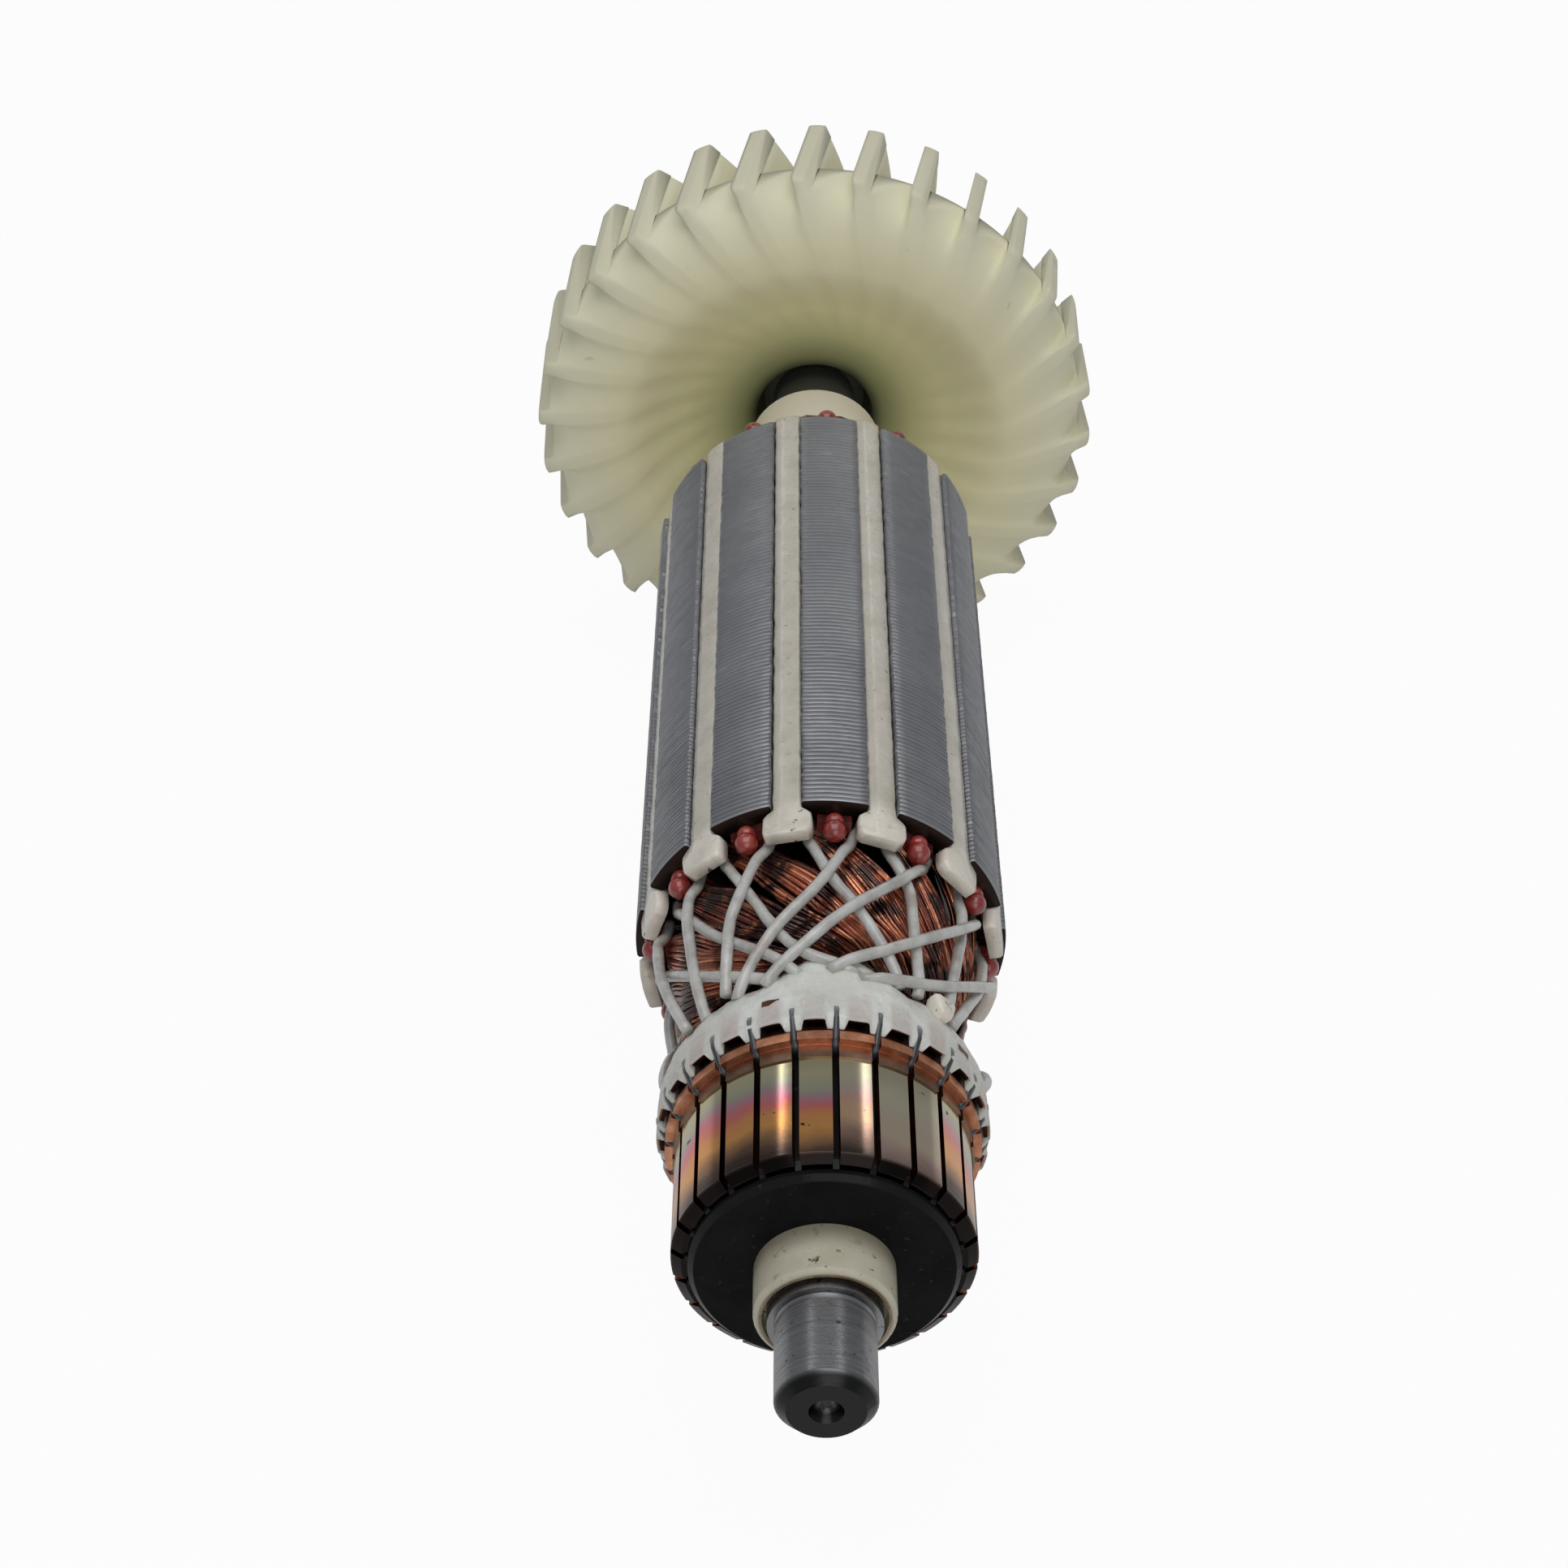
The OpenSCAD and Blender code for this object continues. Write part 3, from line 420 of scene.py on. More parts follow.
def bar_copper():
    """Turned copper with heat tints that run from the riser to the outer end."""
    m = Mat("commutator_copper")
    a, r, y = m.polar()
    bar = m.math("FLOOR", m.add(m.mul(a, BARS), BAR_SHIFT))
    value = m.random(bar)
    patch = m.noise(300, 3, 0.5)
    along = m.math("DIVIDE", m.add(y, -BAR_Y0), TRACK_Y1 - BAR_Y0)
    t = m.add(along, m.add(m.mul(m.add(value, -0.5), 0.22), m.mul(m.add(patch, -0.5), 0.24)))
    tints = m.ramp(t, [
        (0.00, (0.07, 0.045, 0.04)), (0.09, (0.18, 0.10, 0.07)), (0.19, (0.50, 0.26, 0.12)),
        (0.30, (1.0, 0.47, 0.14)), (0.43, (1.0, 0.42, 0.16)), (0.51, (0.98, 0.28, 0.22)),
        (0.57, (0.88, 0.28, 0.34)), (0.65, (0.62, 0.42, 0.44)), (0.75, (0.60, 0.58, 0.42)),
        (0.88, (0.70, 0.64, 0.40)), (1.0, (0.60, 0.52, 0.34))])
    grey = m.ramp(t, [(0.0, (0.08, 0.06, 0.05)), (0.10, (0.34, 0.22, 0.18)), (0.24, (0.62, 0.44, 0.40)),
                      (0.34, (0.74, 0.62, 0.47)), (0.8, (0.76, 0.69, 0.50)), (1.0, (0.62, 0.54, 0.38))])
    # How strongly each bar has coloured, by its place round the commutator.
    place = m.math("DIVIDE", m.add(bar, BARS / 2 + 0.5), BARS)
    amount = m.ramp(place, [
        (0.0, (0.5,) * 3), (7 / 24, (1.0,) * 3), (13 / 24, (0.4,) * 3), (14 / 24, (0.08,) * 3),
        (16 / 24, (0.8,) * 3), (18 / 24, (0.5,) * 3)], "CONSTANT")
    track = m.mix(amount, grey, tints)
    specks = m.noise(900, 2, 0.5)
    track = m.mix(m.between(specks, 0.71, 0.76), track, (0.05, 0.025, 0.02))
    fine = m.noise(1, 3, 0.6, vec=m.vec(m.mul(y, 14), m.mul(a, 3), 1))
    track = m.mix(m.mul(m.between(fine, 0.35, 0.75), 0.15), track, (0.62, 0.56, 0.42))
    raw = m.ramp(m.noise(800, 3, 0.6), [(0.3, (0.52, 0.20, 0.10)), (0.6, (0.85, 0.40, 0.24)),
                                        (0.8, (0.95, 0.55, 0.38))])
    band = m.ramp(m.noise(600, 3, 0.6), [(0.3, (0.20, 0.12, 0.085)), (0.6, (0.34, 0.22, 0.16)),
                                         (0.8, (0.46, 0.31, 0.24))])
    # Painted shade: the hollow under each hook and the hook's front face are painted near-black; on some bars
    # the hook's top edge keeps bright copper as a painted glint.
    dark = m.ramp(m.noise(500, 3, 0.6), [(0.3, (0.012, 0.006, 0.005)), (0.7, (0.05, 0.02, 0.015))])
    glint_tab = m.mul(m.between(r, HOOK_R, HOOK_R + 0.07), m.between(value, 0.35, 0.6, 0.15, 0.9))
    c = m.mix(m.between(y, TRACK_Y1 - 0.06, TRACK_Y1 + 0.02), track, band)
    c = m.mix(m.between(y, RISER_Y0 - 0.06, RISER_Y0 - 0.02), c, raw)
    hollow_shade = m.mul(m.between(y, RISER_Y0 + 0.7, RISER_Y0 + 0.85),
                   m.between(r, RISER_FLOOR_R, RISER_FLOOR_R + 0.12))
    c = m.mix(hollow_shade, c, m.mix(glint_tab, dark, raw))
    c = m.mix(m.between(y, BAR_Y0 + 0.62, BAR_Y0 + 0.38), c, (0.018, 0.014, 0.013))
    # Painted light: the bars' sides in the slots, which stand in shade, are painted a glowing orange.
    side = m.between(r, TRACK_SIDE_R, TRACK_SIDE_R - 0.17)
    glow = m.ramp(m.noise(500, 3, 0.6), [(0.35, (0.30, 0.07, 0.03)), (0.6, (0.95, 0.32, 0.10))])
    c = m.mix(m.mul(side, m.between(y, BAR_Y0 + 0.4, BAR_Y0 + 0.6)), c, glow)
    m.color(c)
    m.rough(m.between(y, TRACK_Y1 - 0.05, TRACK_Y1 + 0.05, 0.11, 0.32))
    m.set(metallic=1.0)
    m.bump(fine, 0.000006, 0.5)
    return m


def rib_dark():
    """Dark moulding that pales where the resin runs over it."""
    m = Mat("rib_moulding")
    _, _, y = m.polar()
    cloud = m.noise(700, 3, 0.6)
    dark = m.ramp(cloud, [(0.3, (0.022, 0.024, 0.030)), (0.7, (0.06, 0.062, 0.07))])
    pale = (0.36, 0.38, 0.37)
    edge = m.add(y, m.mul(cloud, 0.8))
    m.color(m.mix(m.between(edge, RISER_Y0 + 1.7, RISER_Y0 + 3.6), dark, pale))
    m.set(roughness=0.25, specular_ior_level=0.5, coat_weight=0.6, coat_roughness=0.1)
    m.bump(cloud, 0.0001, 0.5)
    return m


def resin_white():
    m = Mat("resin")
    a, _, y = m.polar()
    cloud = m.noise(240, 4, 0.6)
    fine = m.noise(900, 3, 0.6)
    base = m.ramp(cloud, [(0.3, (0.68, 0.68, 0.61)), (0.55, (0.83, 0.83, 0.76)), (0.8, (0.93, 0.93, 0.89))])
    away = m.between(m.off(a, 0), 0.07, 0.16)
    base = m.mix(m.mul(away, 0.6), base, (0.58, 0.56, 0.47))
    across = m.math("FRACT", m.add(m.mul(m.add(a, 1.0), BARS), BAR_SHIFT))
    over_hook = m.between(m.off(across, 0.5), 0.34, 0.16)
    near_front = m.between(y, RESIN_Y0 + 3.0, RESIN_Y0 + 1.2)
    show = m.mul(m.mul(over_hook, near_front), m.between(cloud, 0.35, 0.6, 0.15, 0.5))
    m.color(m.mix(show, base, (0.54, 0.37, 0.33)))
    m.rough(m.between(fine, 0.3, 0.75, 0.34, 0.2))
    m.set(specular_ior_level=0.5, coat_weight=0.35, coat_roughness=0.12)
    m.set(subsurface_weight=0.35, subsurface_scale=0.0015, subsurface_radius=(1, 0.9, 0.8))
    m.bump(m.noise(420, 3, 0.5), 0.0005, 0.7)
    m.bump(fine, 0.0001, 0.6)
    return m


def fan_nylon():
    m = Mat("fan_nylon")
    _, r, _ = m.polar()
    cloud = m.noise(90, 4, 0.55)
    # Darker towards the hub: thicker nylon and painted shade, near-black at the mouth as a painted shadow in
    # the recess round the collar.
    base = m.ramp(m.between(r, 4, FAN_R, smooth=False), [
        (0.0, (0.02, 0.022, 0.014)), (0.085, (0.08, 0.085, 0.04)), (0.13, (0.30, 0.31, 0.135)),
        (0.24, (0.63, 0.61, 0.30)), (0.38, (0.88, 0.84, 0.46)), (0.60, (0.93, 0.88, 0.56)),
        (0.93, (0.86, 0.83, 0.61)), (1.0, (0.78, 0.75, 0.56))])
    base = m.mix(m.mul(m.between(cloud, 0.35, 0.7), 0.12), base, (0.60, 0.56, 0.36))
    smudge = m.noise(260, 3, 0.6)
    m.color(m.mix(m.mul(m.between(smudge, 0.70, 0.78), 0.4), base, (0.30, 0.24, 0.14)))
    m.set(roughness=0.45, specular_ior_level=0.35)
    m.bump(m.noise(900, 3, 0.5), 0.00005, 0.5)
    return m


STEEL = steel_shaft()
CREAM = sleeve_cream()
IRON = stack_iron()
WEDGE = wedge_cream()
RED = red_fibre()
COPPER = copper_winding()
LEAD = lead_white()
BLACK = hub_black()
BAR = bar_copper()
RESIN = resin_white()
NYLON = fan_nylon()
RIB = rib_dark()

# Node names start so, and every node gets a finish, also the nodes that the pieces below hide.
FINISHES = (
    ("shaft", STEEL), ("insulating_sleeve", CREAM), ("lamination_stack", IRON), ("slot_liners", RED),
    ("front_end_insulator", RED), ("rear_end_insulator", RED), ("slot_wedge", WEDGE), ("coil", COPPER),
    ("start_leads", LEAD), ("finish_leads", LEAD), ("commutator_hub", BLACK), ("commutator_bar", BAR),
    ("riser_resin_band", RESIN), ("fan", NYLON))
for start, finish in FINISHES:
    for name, ob in NODES.items():
        if name.startswith(start):
            use(ob, finish)


# ---------------------------------------------------------------- shapes
def curve(points):
    """A smooth function through (x, y) points that doesn't overshoot."""
    xs, ys = zip(*points)
    slopes = [(b[1] - a[1]) / (b[0] - a[0]) for a, b in zip(points, points[1:])]
    inner = [0 if p * q <= 0 else 2 * p * q / (p + q) for p, q in zip(slopes, slopes[1:])]
    tangents = [slopes[0], *inner, slopes[-1]]

    def f(x):
        if x <= xs[0] or x >= xs[-1]:
            return ys[0] if x <= xs[0] else ys[-1]
        i = bisect_right(xs, x) - 1
        h = xs[i + 1] - xs[i]
        t = (x - xs[i]) / h
        return ((1 + 2 * t) * (1 - t) ** 2 * ys[i] + t * (1 - t) ** 2 * h * tangents[i]
                + t * t * (3 - 2 * t) * ys[i + 1] + t * t * (t - 1) * h * tangents[i + 1])

    return f


def step(lo, hi, x):
    t = min(1.0, max(0.0, (x - lo) / (hi - lo)))
    return t * t * (3 - 2 * t)


def lerp(a, b, t):
    return a + (b - a) * t


def grid_faces(rows, cols, wrap_rows=False, base=0, flip=False):
    """Quads between rows of points; each row has cols points and closes on itself."""
    faces = []
    for i in range(rows if wrap_rows else rows - 1):
        i2 = (i + 1) % rows
        for j in range(cols):
            j2 = (j + 1) % cols
            q = (base + i * cols + j, base + i * cols + j2, base + i2 * cols + j2, base + i2 * cols + j)
            faces.append(q[::-1] if flip else q)
    return faces


def add_caps(faces, rows, cols, base=0):
    """Closes the first and the last row of a grid."""
    faces.append(tuple(base + j for j in range(cols)))
    faces.append(tuple(base + (rows - 1) * cols + j for j in reversed(range(cols))))


def tube(verts, faces, path, radius, sides=6, tones=None, tone=0.0):
    """Adds a tube along a path; radius is a number or a function of the share of the length."""
    base = len(verts)
    pts = [Vector(p) for p in path]
    last = len(pts) - 1
    for k, p in enumerate(pts):
        along = (pts[min(k + 1, last)] - pts[max(k - 1, 0)]).normalized()
        out = Vector((p.x, 0, p.z)).normalized()
        side = along.cross(out).normalized()
        up = side.cross(along)
        r = radius(k / last) if callable(radius) else radius
        for j in range(sides):
            a = TAU * j / sides
            verts.append(tuple(p + (side * math.cos(a) + up * math.sin(a)) * r))
            if tones is not None:
                tones.append(tone)
    faces += grid_faces(last + 1, sides, base=base, flip=True)
    add_caps(faces, last + 1, sides, base)


def wander(x, y, z=0.0):
    """Smooth noise in -1..1."""
    return noise.noise(Vector((x, y, z)))


# ---------------------------------------------------------------- fan
BLADES = 30
BLADE_PITCH = 360 / BLADES
BLADE_W = 11.4              # width of a blade along the shaft
FAN_TIP = FAN_Y1 - BLADE_W
BLADE_PHASE = -0.8
SWEEP = math.tan(math.radians(24))
LEAN = math.tan(math.radians(10))
RIM_R = FAN_R - 1.1
MOUTH_R = 5.65
HUB_BACK_R = 9.5
BORE_R = 5.03
PLATE_U = 0.13              # half the thickness of a blade, as a share of the pitch
PLATE_HALF = 0.69           # half the thickness of a blade's plate behind the disc, in mm
PLATE_BACK = BLADE_W - 0.02
RIM_ROUND = 0.2
EDGE_ROUND = 0.14
# Columns across a ridge, as shares of the pitch from the middle of its blade
ACROSS = (-0.5, -0.42, -0.35, -0.29, -0.25, -0.22, -0.197, -0.18, -0.165, -0.148, -0.13, -0.06, 0.0, 0.06,
          0.13, 0.15, 0.19, 0.24, 0.3, 0.37, 0.44)
# Rings of the front face, as shares of the way from the mouth to the rim
FRONT_RINGS = (0, 0.03, 0.08, 0.14, 0.2, 0.26, 0.31, 0.36, 0.4, 0.44, 0.48, 0.52, 0.55, 0.58, 0.61, 0.64,
               0.67, 0.7, 0.73, 0.76, 0.79, 0.82, 0.85, 0.88, 0.905, 0.93, 0.95, 0.97, 0.985, 1.0)
BACK_RINGS = (1.0, 0.985, 0.96, 0.9, 0.8, 0.65, 0.5, 0.35)
# Crest and groove of the front face: (radius, distance behind the blades' nearest edge)
CREST = curve([(5.85, 2.75), (9, 2.35), (12, 1.65), (14, 0.75), (16, -0.5), (17.5, -1.4), (18.8, -1.85),
               (20.2, -1.85), (22, -1.6), (24.5, -0.85), (26, -0.3), (27.4, 0.35)])
GROOVE = curve([(5.85, 2.75), (9, 2.35), (12, 1.65), (14, 0.77), (16, -0.45), (17.5, -1.32), (18.8, -1.74),
                (20.2, -1.7), (22, -1.35), (23.5, -0.8), (24.8, 0.2), (25.6, 1.5), (26.3, 3.2), (27.4, 4.9)])


def blade_angle(r, y):
    """Degrees from a blade's root angle at a radius and a distance behind the nearest edge."""
    lean = (y - BLADE_W / 2) * LEAN / r
    return math.degrees(math.log(FAN_R / r) * SWEEP + lean)


def fan_front(u, r):
    """Distance of the front face behind the blades' nearest edge; u runs -0.5..0.5 across a ridge.

    From a blade's clockwise side the face falls away in a curve, and it climbs again to the next blade."""
    w = ((u - PLATE_U) % 1.0) / (1 - 2 * PLATE_U)
    wall = lerp(0.62, 0.9, step(23.5, 26.2, r))
    fall = 1 - (1 - min(w, wall) / wall) ** lerp(1.6, 2.2, step(23.5, 26.0, r))
    g = 0.0 if w > 1 else fall * (1 - step(wall, 1.0, w))
    swell = 0.08 * math.cos(TAU * (u + 0.18 * (18 - r) / 3)) * step(9.5, 12.5, r) * step(19, 17, r)
    return lerp(CREST(r), GROOVE(r), g) - swell


def edge_round(u):
    """How far the long edges of a blade's front are rounded back."""
    return EDGE_ROUND * step(0.09, PLATE_U, abs(u))


def blade_tip(u):
    """Path round the part of a blade that stands past the rim: (radius, distance behind the nearest edge)."""
    soft = edge_round(u)
    end_r = FAN_R - soft * 0.3
    path = [(r, CREST(r) + soft) for r in (RIM_R + 0.25, RIM_R + 0.55, FAN_R - 0.3)]
    path += [(end_r - 0.12, CREST(FAN_R) + 0.08 + soft), (end_r - 0.03, CREST(FAN_R) + 0.3 + soft)]
    path += [(end_r, y) for y in (1.3, 4.0, 8.0, BLADE_W - 0.5)]
    path += [(end_r - 0.1, BLADE_W - 0.12), (FAN_R - 0.4, BLADE_W), (RIM_R - 0.3, BLADE_W)]
    return path


def front_point(u, share):
    """Radius and distance of the front face, at a share of the way from the mouth to the rim."""
    r = lerp(MOUTH_R + 0.3, RIM_R, share)
    if abs(u) > PLATE_U:
        return r, fan_front(u, r) + RIM_ROUND * step(0.98, 1.0, share)
    return r, fan_front(u, r) + edge_round(u) * step(0.9, 1, share)


def tip_point(u, k):
    """Point k of the path round a blade's tip; between the blades the rings lie together at the rim."""
    if abs(u) <= PLATE_U:
        return blade_tip(u)[k]
    return RIM_R + 0.003 * k, fan_front(u, RIM_R) + RIM_ROUND + 0.02 * k


def back_point(u, share):
    """Radius and distance of the back of the disc, which is thinner at the rim."""
    r = lerp(HUB_BACK_R, RIM_R, (share - BACK_RINGS[-1]) / (1 - BACK_RINGS[-1]))
    return r, max(GROOVE(min(r, RIM_R)), fan_front(u, r)) + (1.0 if share == 1.0 else 1.5)


def fan_piece():
    per_ridge = len(ACROSS)
    cols = BLADES * per_ridge
    verts = []

    def ring(place, *at):
        for c in range(cols):
            u = ACROSS[c % per_ridge]
            r, y = place(u, *at)
            deg = BLADE_PHASE + (c // per_ridge + u) * BLADE_PITCH + blade_angle(r, y)
            verts.append(cyl(r, deg, FAN_TIP + y))

    def circle(r, y):
        ring(lambda u: (r, y))

    mouth_y = CREST(MOUTH_R)
    circle(BORE_R, mouth_y + 3.4)
    circle(MOUTH_R, mouth_y + 3.4)
    circle(MOUTH_R, mouth_y + 0.7)
    circle(MOUTH_R + 0.08, mouth_y + 0.3)
    for share in FRONT_RINGS:
        ring(front_point, share)
    for k in range(len(blade_tip(0))):
        ring(tip_point, k)
    for share in BACK_RINGS:
        ring(back_point, share)
    circle(HUB_BACK_R, BLADE_W)
    circle(BORE_R, BLADE_W)
    faces = grid_faces(len(verts) // cols, cols, wrap_rows=True)
    for k in range(BLADES):
        add_blade(verts, faces, BLADE_PHASE + k * BLADE_PITCH)
    ob = mesh_piece("fan_moulding", verts, faces, NYLON)
    smooth_by_angle(ob, 38)
    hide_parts("fan")


def add_blade(verts, faces, deg):
    """A plate behind a ridge, as far out as the rim, with a rounded back edge."""
    radii = [12.5, 14.5, 17, 19.5, 22, 24, 25.2, RIM_R + 0.2]
    profile = [(-PLATE_HALF, r) for r in radii] + [(PLATE_HALF, r) for r in reversed(radii)]
    # (share of the way to the back edge, how far the sides have rounded in)
    levels = [(0.0, 0.0), (0.35, 0.0), (0.7, 0.0), (0.97, 0.0), (0.993, 0.08), (1.0, 0.3)]
    base = len(verts)
    for share, inset in levels:
        for side, r in profile:
            y = lerp(CREST(r) + 1.1 + 0.4 * step(21, 18, r), PLATE_BACK, share)
            across = side * (1 - inset * 0.7)
            verts.append(cyl(r, deg + blade_angle(r, y) + math.degrees(across / r), FAN_TIP + y))
    n = len(profile)
    faces += grid_faces(len(levels), n, base=base, flip=True)
    for end, flip in ((0, True), (len(levels) - 1, False)):
        b = base + end * n
        for i in range(n // 2 - 1):
            q = (b + i, b + i + 1, b + n - 2 - i, b + n - 1 - i)
            faces.append(q[::-1] if flip else q)


# ---------------------------------------------------------------- windings
COIL_TOP = 12.1
COIL_BOTTOM = 7.65
COIL_SPLIT = 9.9            # between the upper and the lower coil side in a slot
TURN_INNER = SLEEVE_R + 0.3
LAYER_GAP = 0.35
SPAN = 150                  # degrees from one side of a coil to the other


class EndTurn:
    """The path that the wires of a coil take at one end of the core."""

    def __init__(self, face_y, direction, length, drop, swirl):
        self.face, self.dir, self.drop, self.swirl = face_y, direction, drop, swirl
        self.mid = (COIL_TOP - drop + TURN_INNER) / 2
        self.thick = COIL_TOP - drop - self.mid - LAYER_GAP / 2
        self.tip = length - self.thick

    def half(self, u):
        """Half the width of the bundle in degrees; it spreads on its way to the tip of the turn."""
        return lerp(5.6, 7.2, step(0, 0.35, u)) + 6.0 * step(0.3, 0.8, u)

    def at(self, t, across, depth):
        """A point at share t of the turn: 0 and 1 in the slots, across -1..1, depth 0 (inside) to 1."""
        if t < 0.4:
            u = t / 0.4
            r0 = lerp(COIL_SPLIT, self.mid, u * u) + LAYER_GAP / 2
            r1 = COIL_TOP - self.drop * u * u
            r, d, turn = lerp(r0, r1, depth), lerp(-1.0, self.tip, u), self.swirl * u
            half = self.half(u)
        elif t > 0.6:
            u = (1 - t) / 0.4
            r0 = lerp(COIL_SPLIT, self.mid, u * u) - LAYER_GAP / 2
            r1 = lerp(COIL_BOTTOM, TURN_INNER, u * u)
            r, d, turn = lerp(r0, r1, depth), lerp(-1.0, self.tip, u), SPAN - self.swirl * u
            half = self.half(u)
        else:
            v = (t - 0.4) / 0.2
            reach = LAYER_GAP / 2 + self.thick * depth
            r = self.mid + reach * math.cos(math.pi * v)
            d = self.tip + reach * math.sin(math.pi * v)
            turn = lerp(self.swirl, SPAN - self.swirl, v)
            half = self.half(1)
        return r, turn + across * half, self.face + self.dir * d


FRONT_TURN = EndTurn(CORE_Y0, -1, CORE_Y0 - COIL_Y0 - 0.15, 1.25, 47)
REAR_TURN = EndTurn(CORE_Y1, 1, COIL_Y1 - CORE_Y1 - 0.15, 1.7, 47)
SHADE_BODY_TONE = -1.0            # marks the near-black body under the strands, painted shade that shows between them; the strands' tones run from 0 to 1


def coil_piece(number):
    rnd = random.Random(number * 17)
    slot = SLOT_PHASE + (number - 1) * SLOT_PITCH
    verts, faces, tones = [], [], []
    # A near-black body, painted shade that shows between the strands, with layers of strands over it
    body = [(-0.8, 0.05), (0.8, 0.05), (0.97, 0.3), (0.97, 0.62), (0.7, 0.78), (-0.7, 0.78), (-0.97, 0.62),
            (-0.97, 0.3)]
    steps = 24
    for turn in (FRONT_TURN, REAR_TURN):
        base = len(verts)
        for k in range(steps + 1):
            for across, depth in body:
                r, deg, y = turn.at(k / steps, across, depth)
                verts.append(cyl(r, slot + deg, y))
                tones.append(SHADE_BODY_TONE)
        faces.extend(grid_faces(steps + 1, len(body), base=base, flip=turn is FRONT_TURN))
    # (turn, strands, share of the bundle's depth, radius of a strand)
    layers = ((FRONT_TURN, 15, 0.93, 0.165), (FRONT_TURN, 13, 0.76, 0.165), (REAR_TURN, 11, 0.90, 0.20))
    steps = 26
    for turn, count, level, radius in layers:
        for j in range(count):
            across = -0.97 + 1.94 * (j + rnd.uniform(-0.3, 0.3)) / (count - 1)
            depth = level + rnd.uniform(-0.05, 0.05)
            seed = rnd.uniform(0, 50)
            tone = rnd.random()
            sag = rnd.uniform(-0.10, 0.05)
            path = []
            for k in range(steps + 1):
                t = k / steps
                a = across + 0.10 * wander(t * 5, seed)
                dp = depth + 0.05 * wander(t * 6, seed, 7) + sag * math.sin(math.pi * t) ** 2
                r, deg, y = turn.at(t, max(-1.05, min(1.05, a)), min(0.97, dp))
                path.append(cyl(r, slot + deg, y))
            tube(verts, faces, path, radius, 5, tones, tone)
    ob = mesh_piece(f"coil_wires_{number:02d}", verts, faces, COPPER)
    ob.data.attributes.new("tone", "FLOAT", "POINT").data.foreach_set("value", tones)
    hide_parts(f"coil_{number:02d}")


# ---------------------------------------------------------------- leads
# Each route: (distance out of the core, degrees from straight up) of a sleeved lead.
UNDER = [
    [(4.2, -90), (7.7, -72), (12.7, -45), (14.8, -29), (15.4, -22)],
    [(2.5, -63), (4.1, -57), (9.2, -40), (12.4, -25), (13.8, -17)],
    [(2.0, -36), (3.2, -33), (7.8, -23), (12.1, -13), (14.1, -4), (15.0, 6)],
    [(1.9, -4), (6.2, 4), (8.5, 11), (11.8, 20), (14.6, 27)],
    [(2.5, 26), (3.5, 28), (6.3, 33), (11.1, 35), (15.2, 37)],
    [(2.0, 60), (6.2, 59), (10.6, 55), (14.1, 52)],
    [(2.5, 88), (8.7, 76), (13.1, 63), (15.6, 57)],
]
OVER = [
    [(2.5, -49), (6.0, -50), (10.0, -48), (13.5, -47), (16.2, -46)],
    [(2.5, -19), (7.2, -27), (10.0, -31), (13.0, -33), (15.4, -35)],
    [(2.9, 10), (8.3, -2), (11.5, -14), (14.0, -23), (16.1, -30)],
    [(2.4, 39), (7.0, 23), (10.7, 7), (13.2, -4), (15.8, -18)],
    [(2.6, 71), (9.6, 43), (13.3, 23), (14.8, 10)],
    [(3.5, 97), (11.5, 62), (15.0, 38), (15.7, 24)],
    [(2.5, -76), (9.3, -67), (13.2, -61), (15.7, -57)],
]
# Radius of a lead's middle line against the distance out of the core
UNDER_R = curve([(0, 11.8), (2.0, 12.1), (4.0, 12.4), (8.0, 12.2), (12.0, 12.0), (14.5, 11.8), (16.2, 11.3)])
OVER_R = curve([(0, 11.9), (2.0, 12.2), (4.2, 12.95), (8.0, 13.0), (11.0, 12.8), (13.5, 12.4), (15.3, 12.0),
                (16.8, 11.5)])


LEAD_RADIUS = 0.445
LEAD_START = 0.4
LEAD_END = 15.8             # every lead goes on into the resin, at least this far out


def lead_path(route, radius):
    """Points along a lead; it runs on past both ends of its route, nearly at the slope that it has there."""
    angle = curve(route)
    first, last = route[0][0], route[-1][0]
    slope = (angle(first + 0.3) - angle(first)) / 0.3
    end_slope = (angle(last) - angle(last - 0.3)) / 0.3
    path = []
    steps = 34
    for k in range(steps + 1):
        d = lerp(LEAD_START, max(last + 0.6, LEAD_END), k / steps)
        a = angle(d) + (slope * (d - first) * 0.6 if d < first else 0)
        a += end_slope * (d - last) * 0.8 if d > last else 0
        path.append(cyl(radius(d), a + 0.25 * wander(d * 0.9, route[0][1]), CORE_Y0 - d))
    return path


def turned_routes(route):
    """Copies of a route for the far side."""
    return [[(d, a + SLOT_PITCH * k) for d, a in route] for k in range(4, 9)]


def leads_piece(name, node, routes, radius):
    verts, faces = [], []
    for route in routes:
        seed = route[0][1]
        tube(verts, faces, lead_path(route, radius),
             lambda t: LEAD_RADIUS + 0.04 * wander(t * 7, seed) + 0.02 * wander(t * 23, seed, 5), 10)
    ob = mesh_piece(name, verts, faces, LEAD)
    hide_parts(node)


def all_leads():
    leads_piece("leads_beneath", "finish_leads", UNDER + turned_routes(UNDER[3]), UNDER_R)
    leads_piece("leads_above", "start_leads", OVER + turned_routes(OVER[2]), OVER_R)


# ---------------------------------------------------------------- resin and ribs
CHIP_R, CHIP_DEG, CHIP_Y = 12.0, 45.5, 25.2
RESIN_INNER_R = 8.7
# Height of the resin over the risers against the distance from its front edge
RESIN_LINE = curve([(0, 0.30), (0.5, 0.48), (1.3, 0.60), (3.5, 0.58), (5.0, 0.3), (6.3, -0.3), (7.1, -0.9),
                    (8.0, -2.0)])


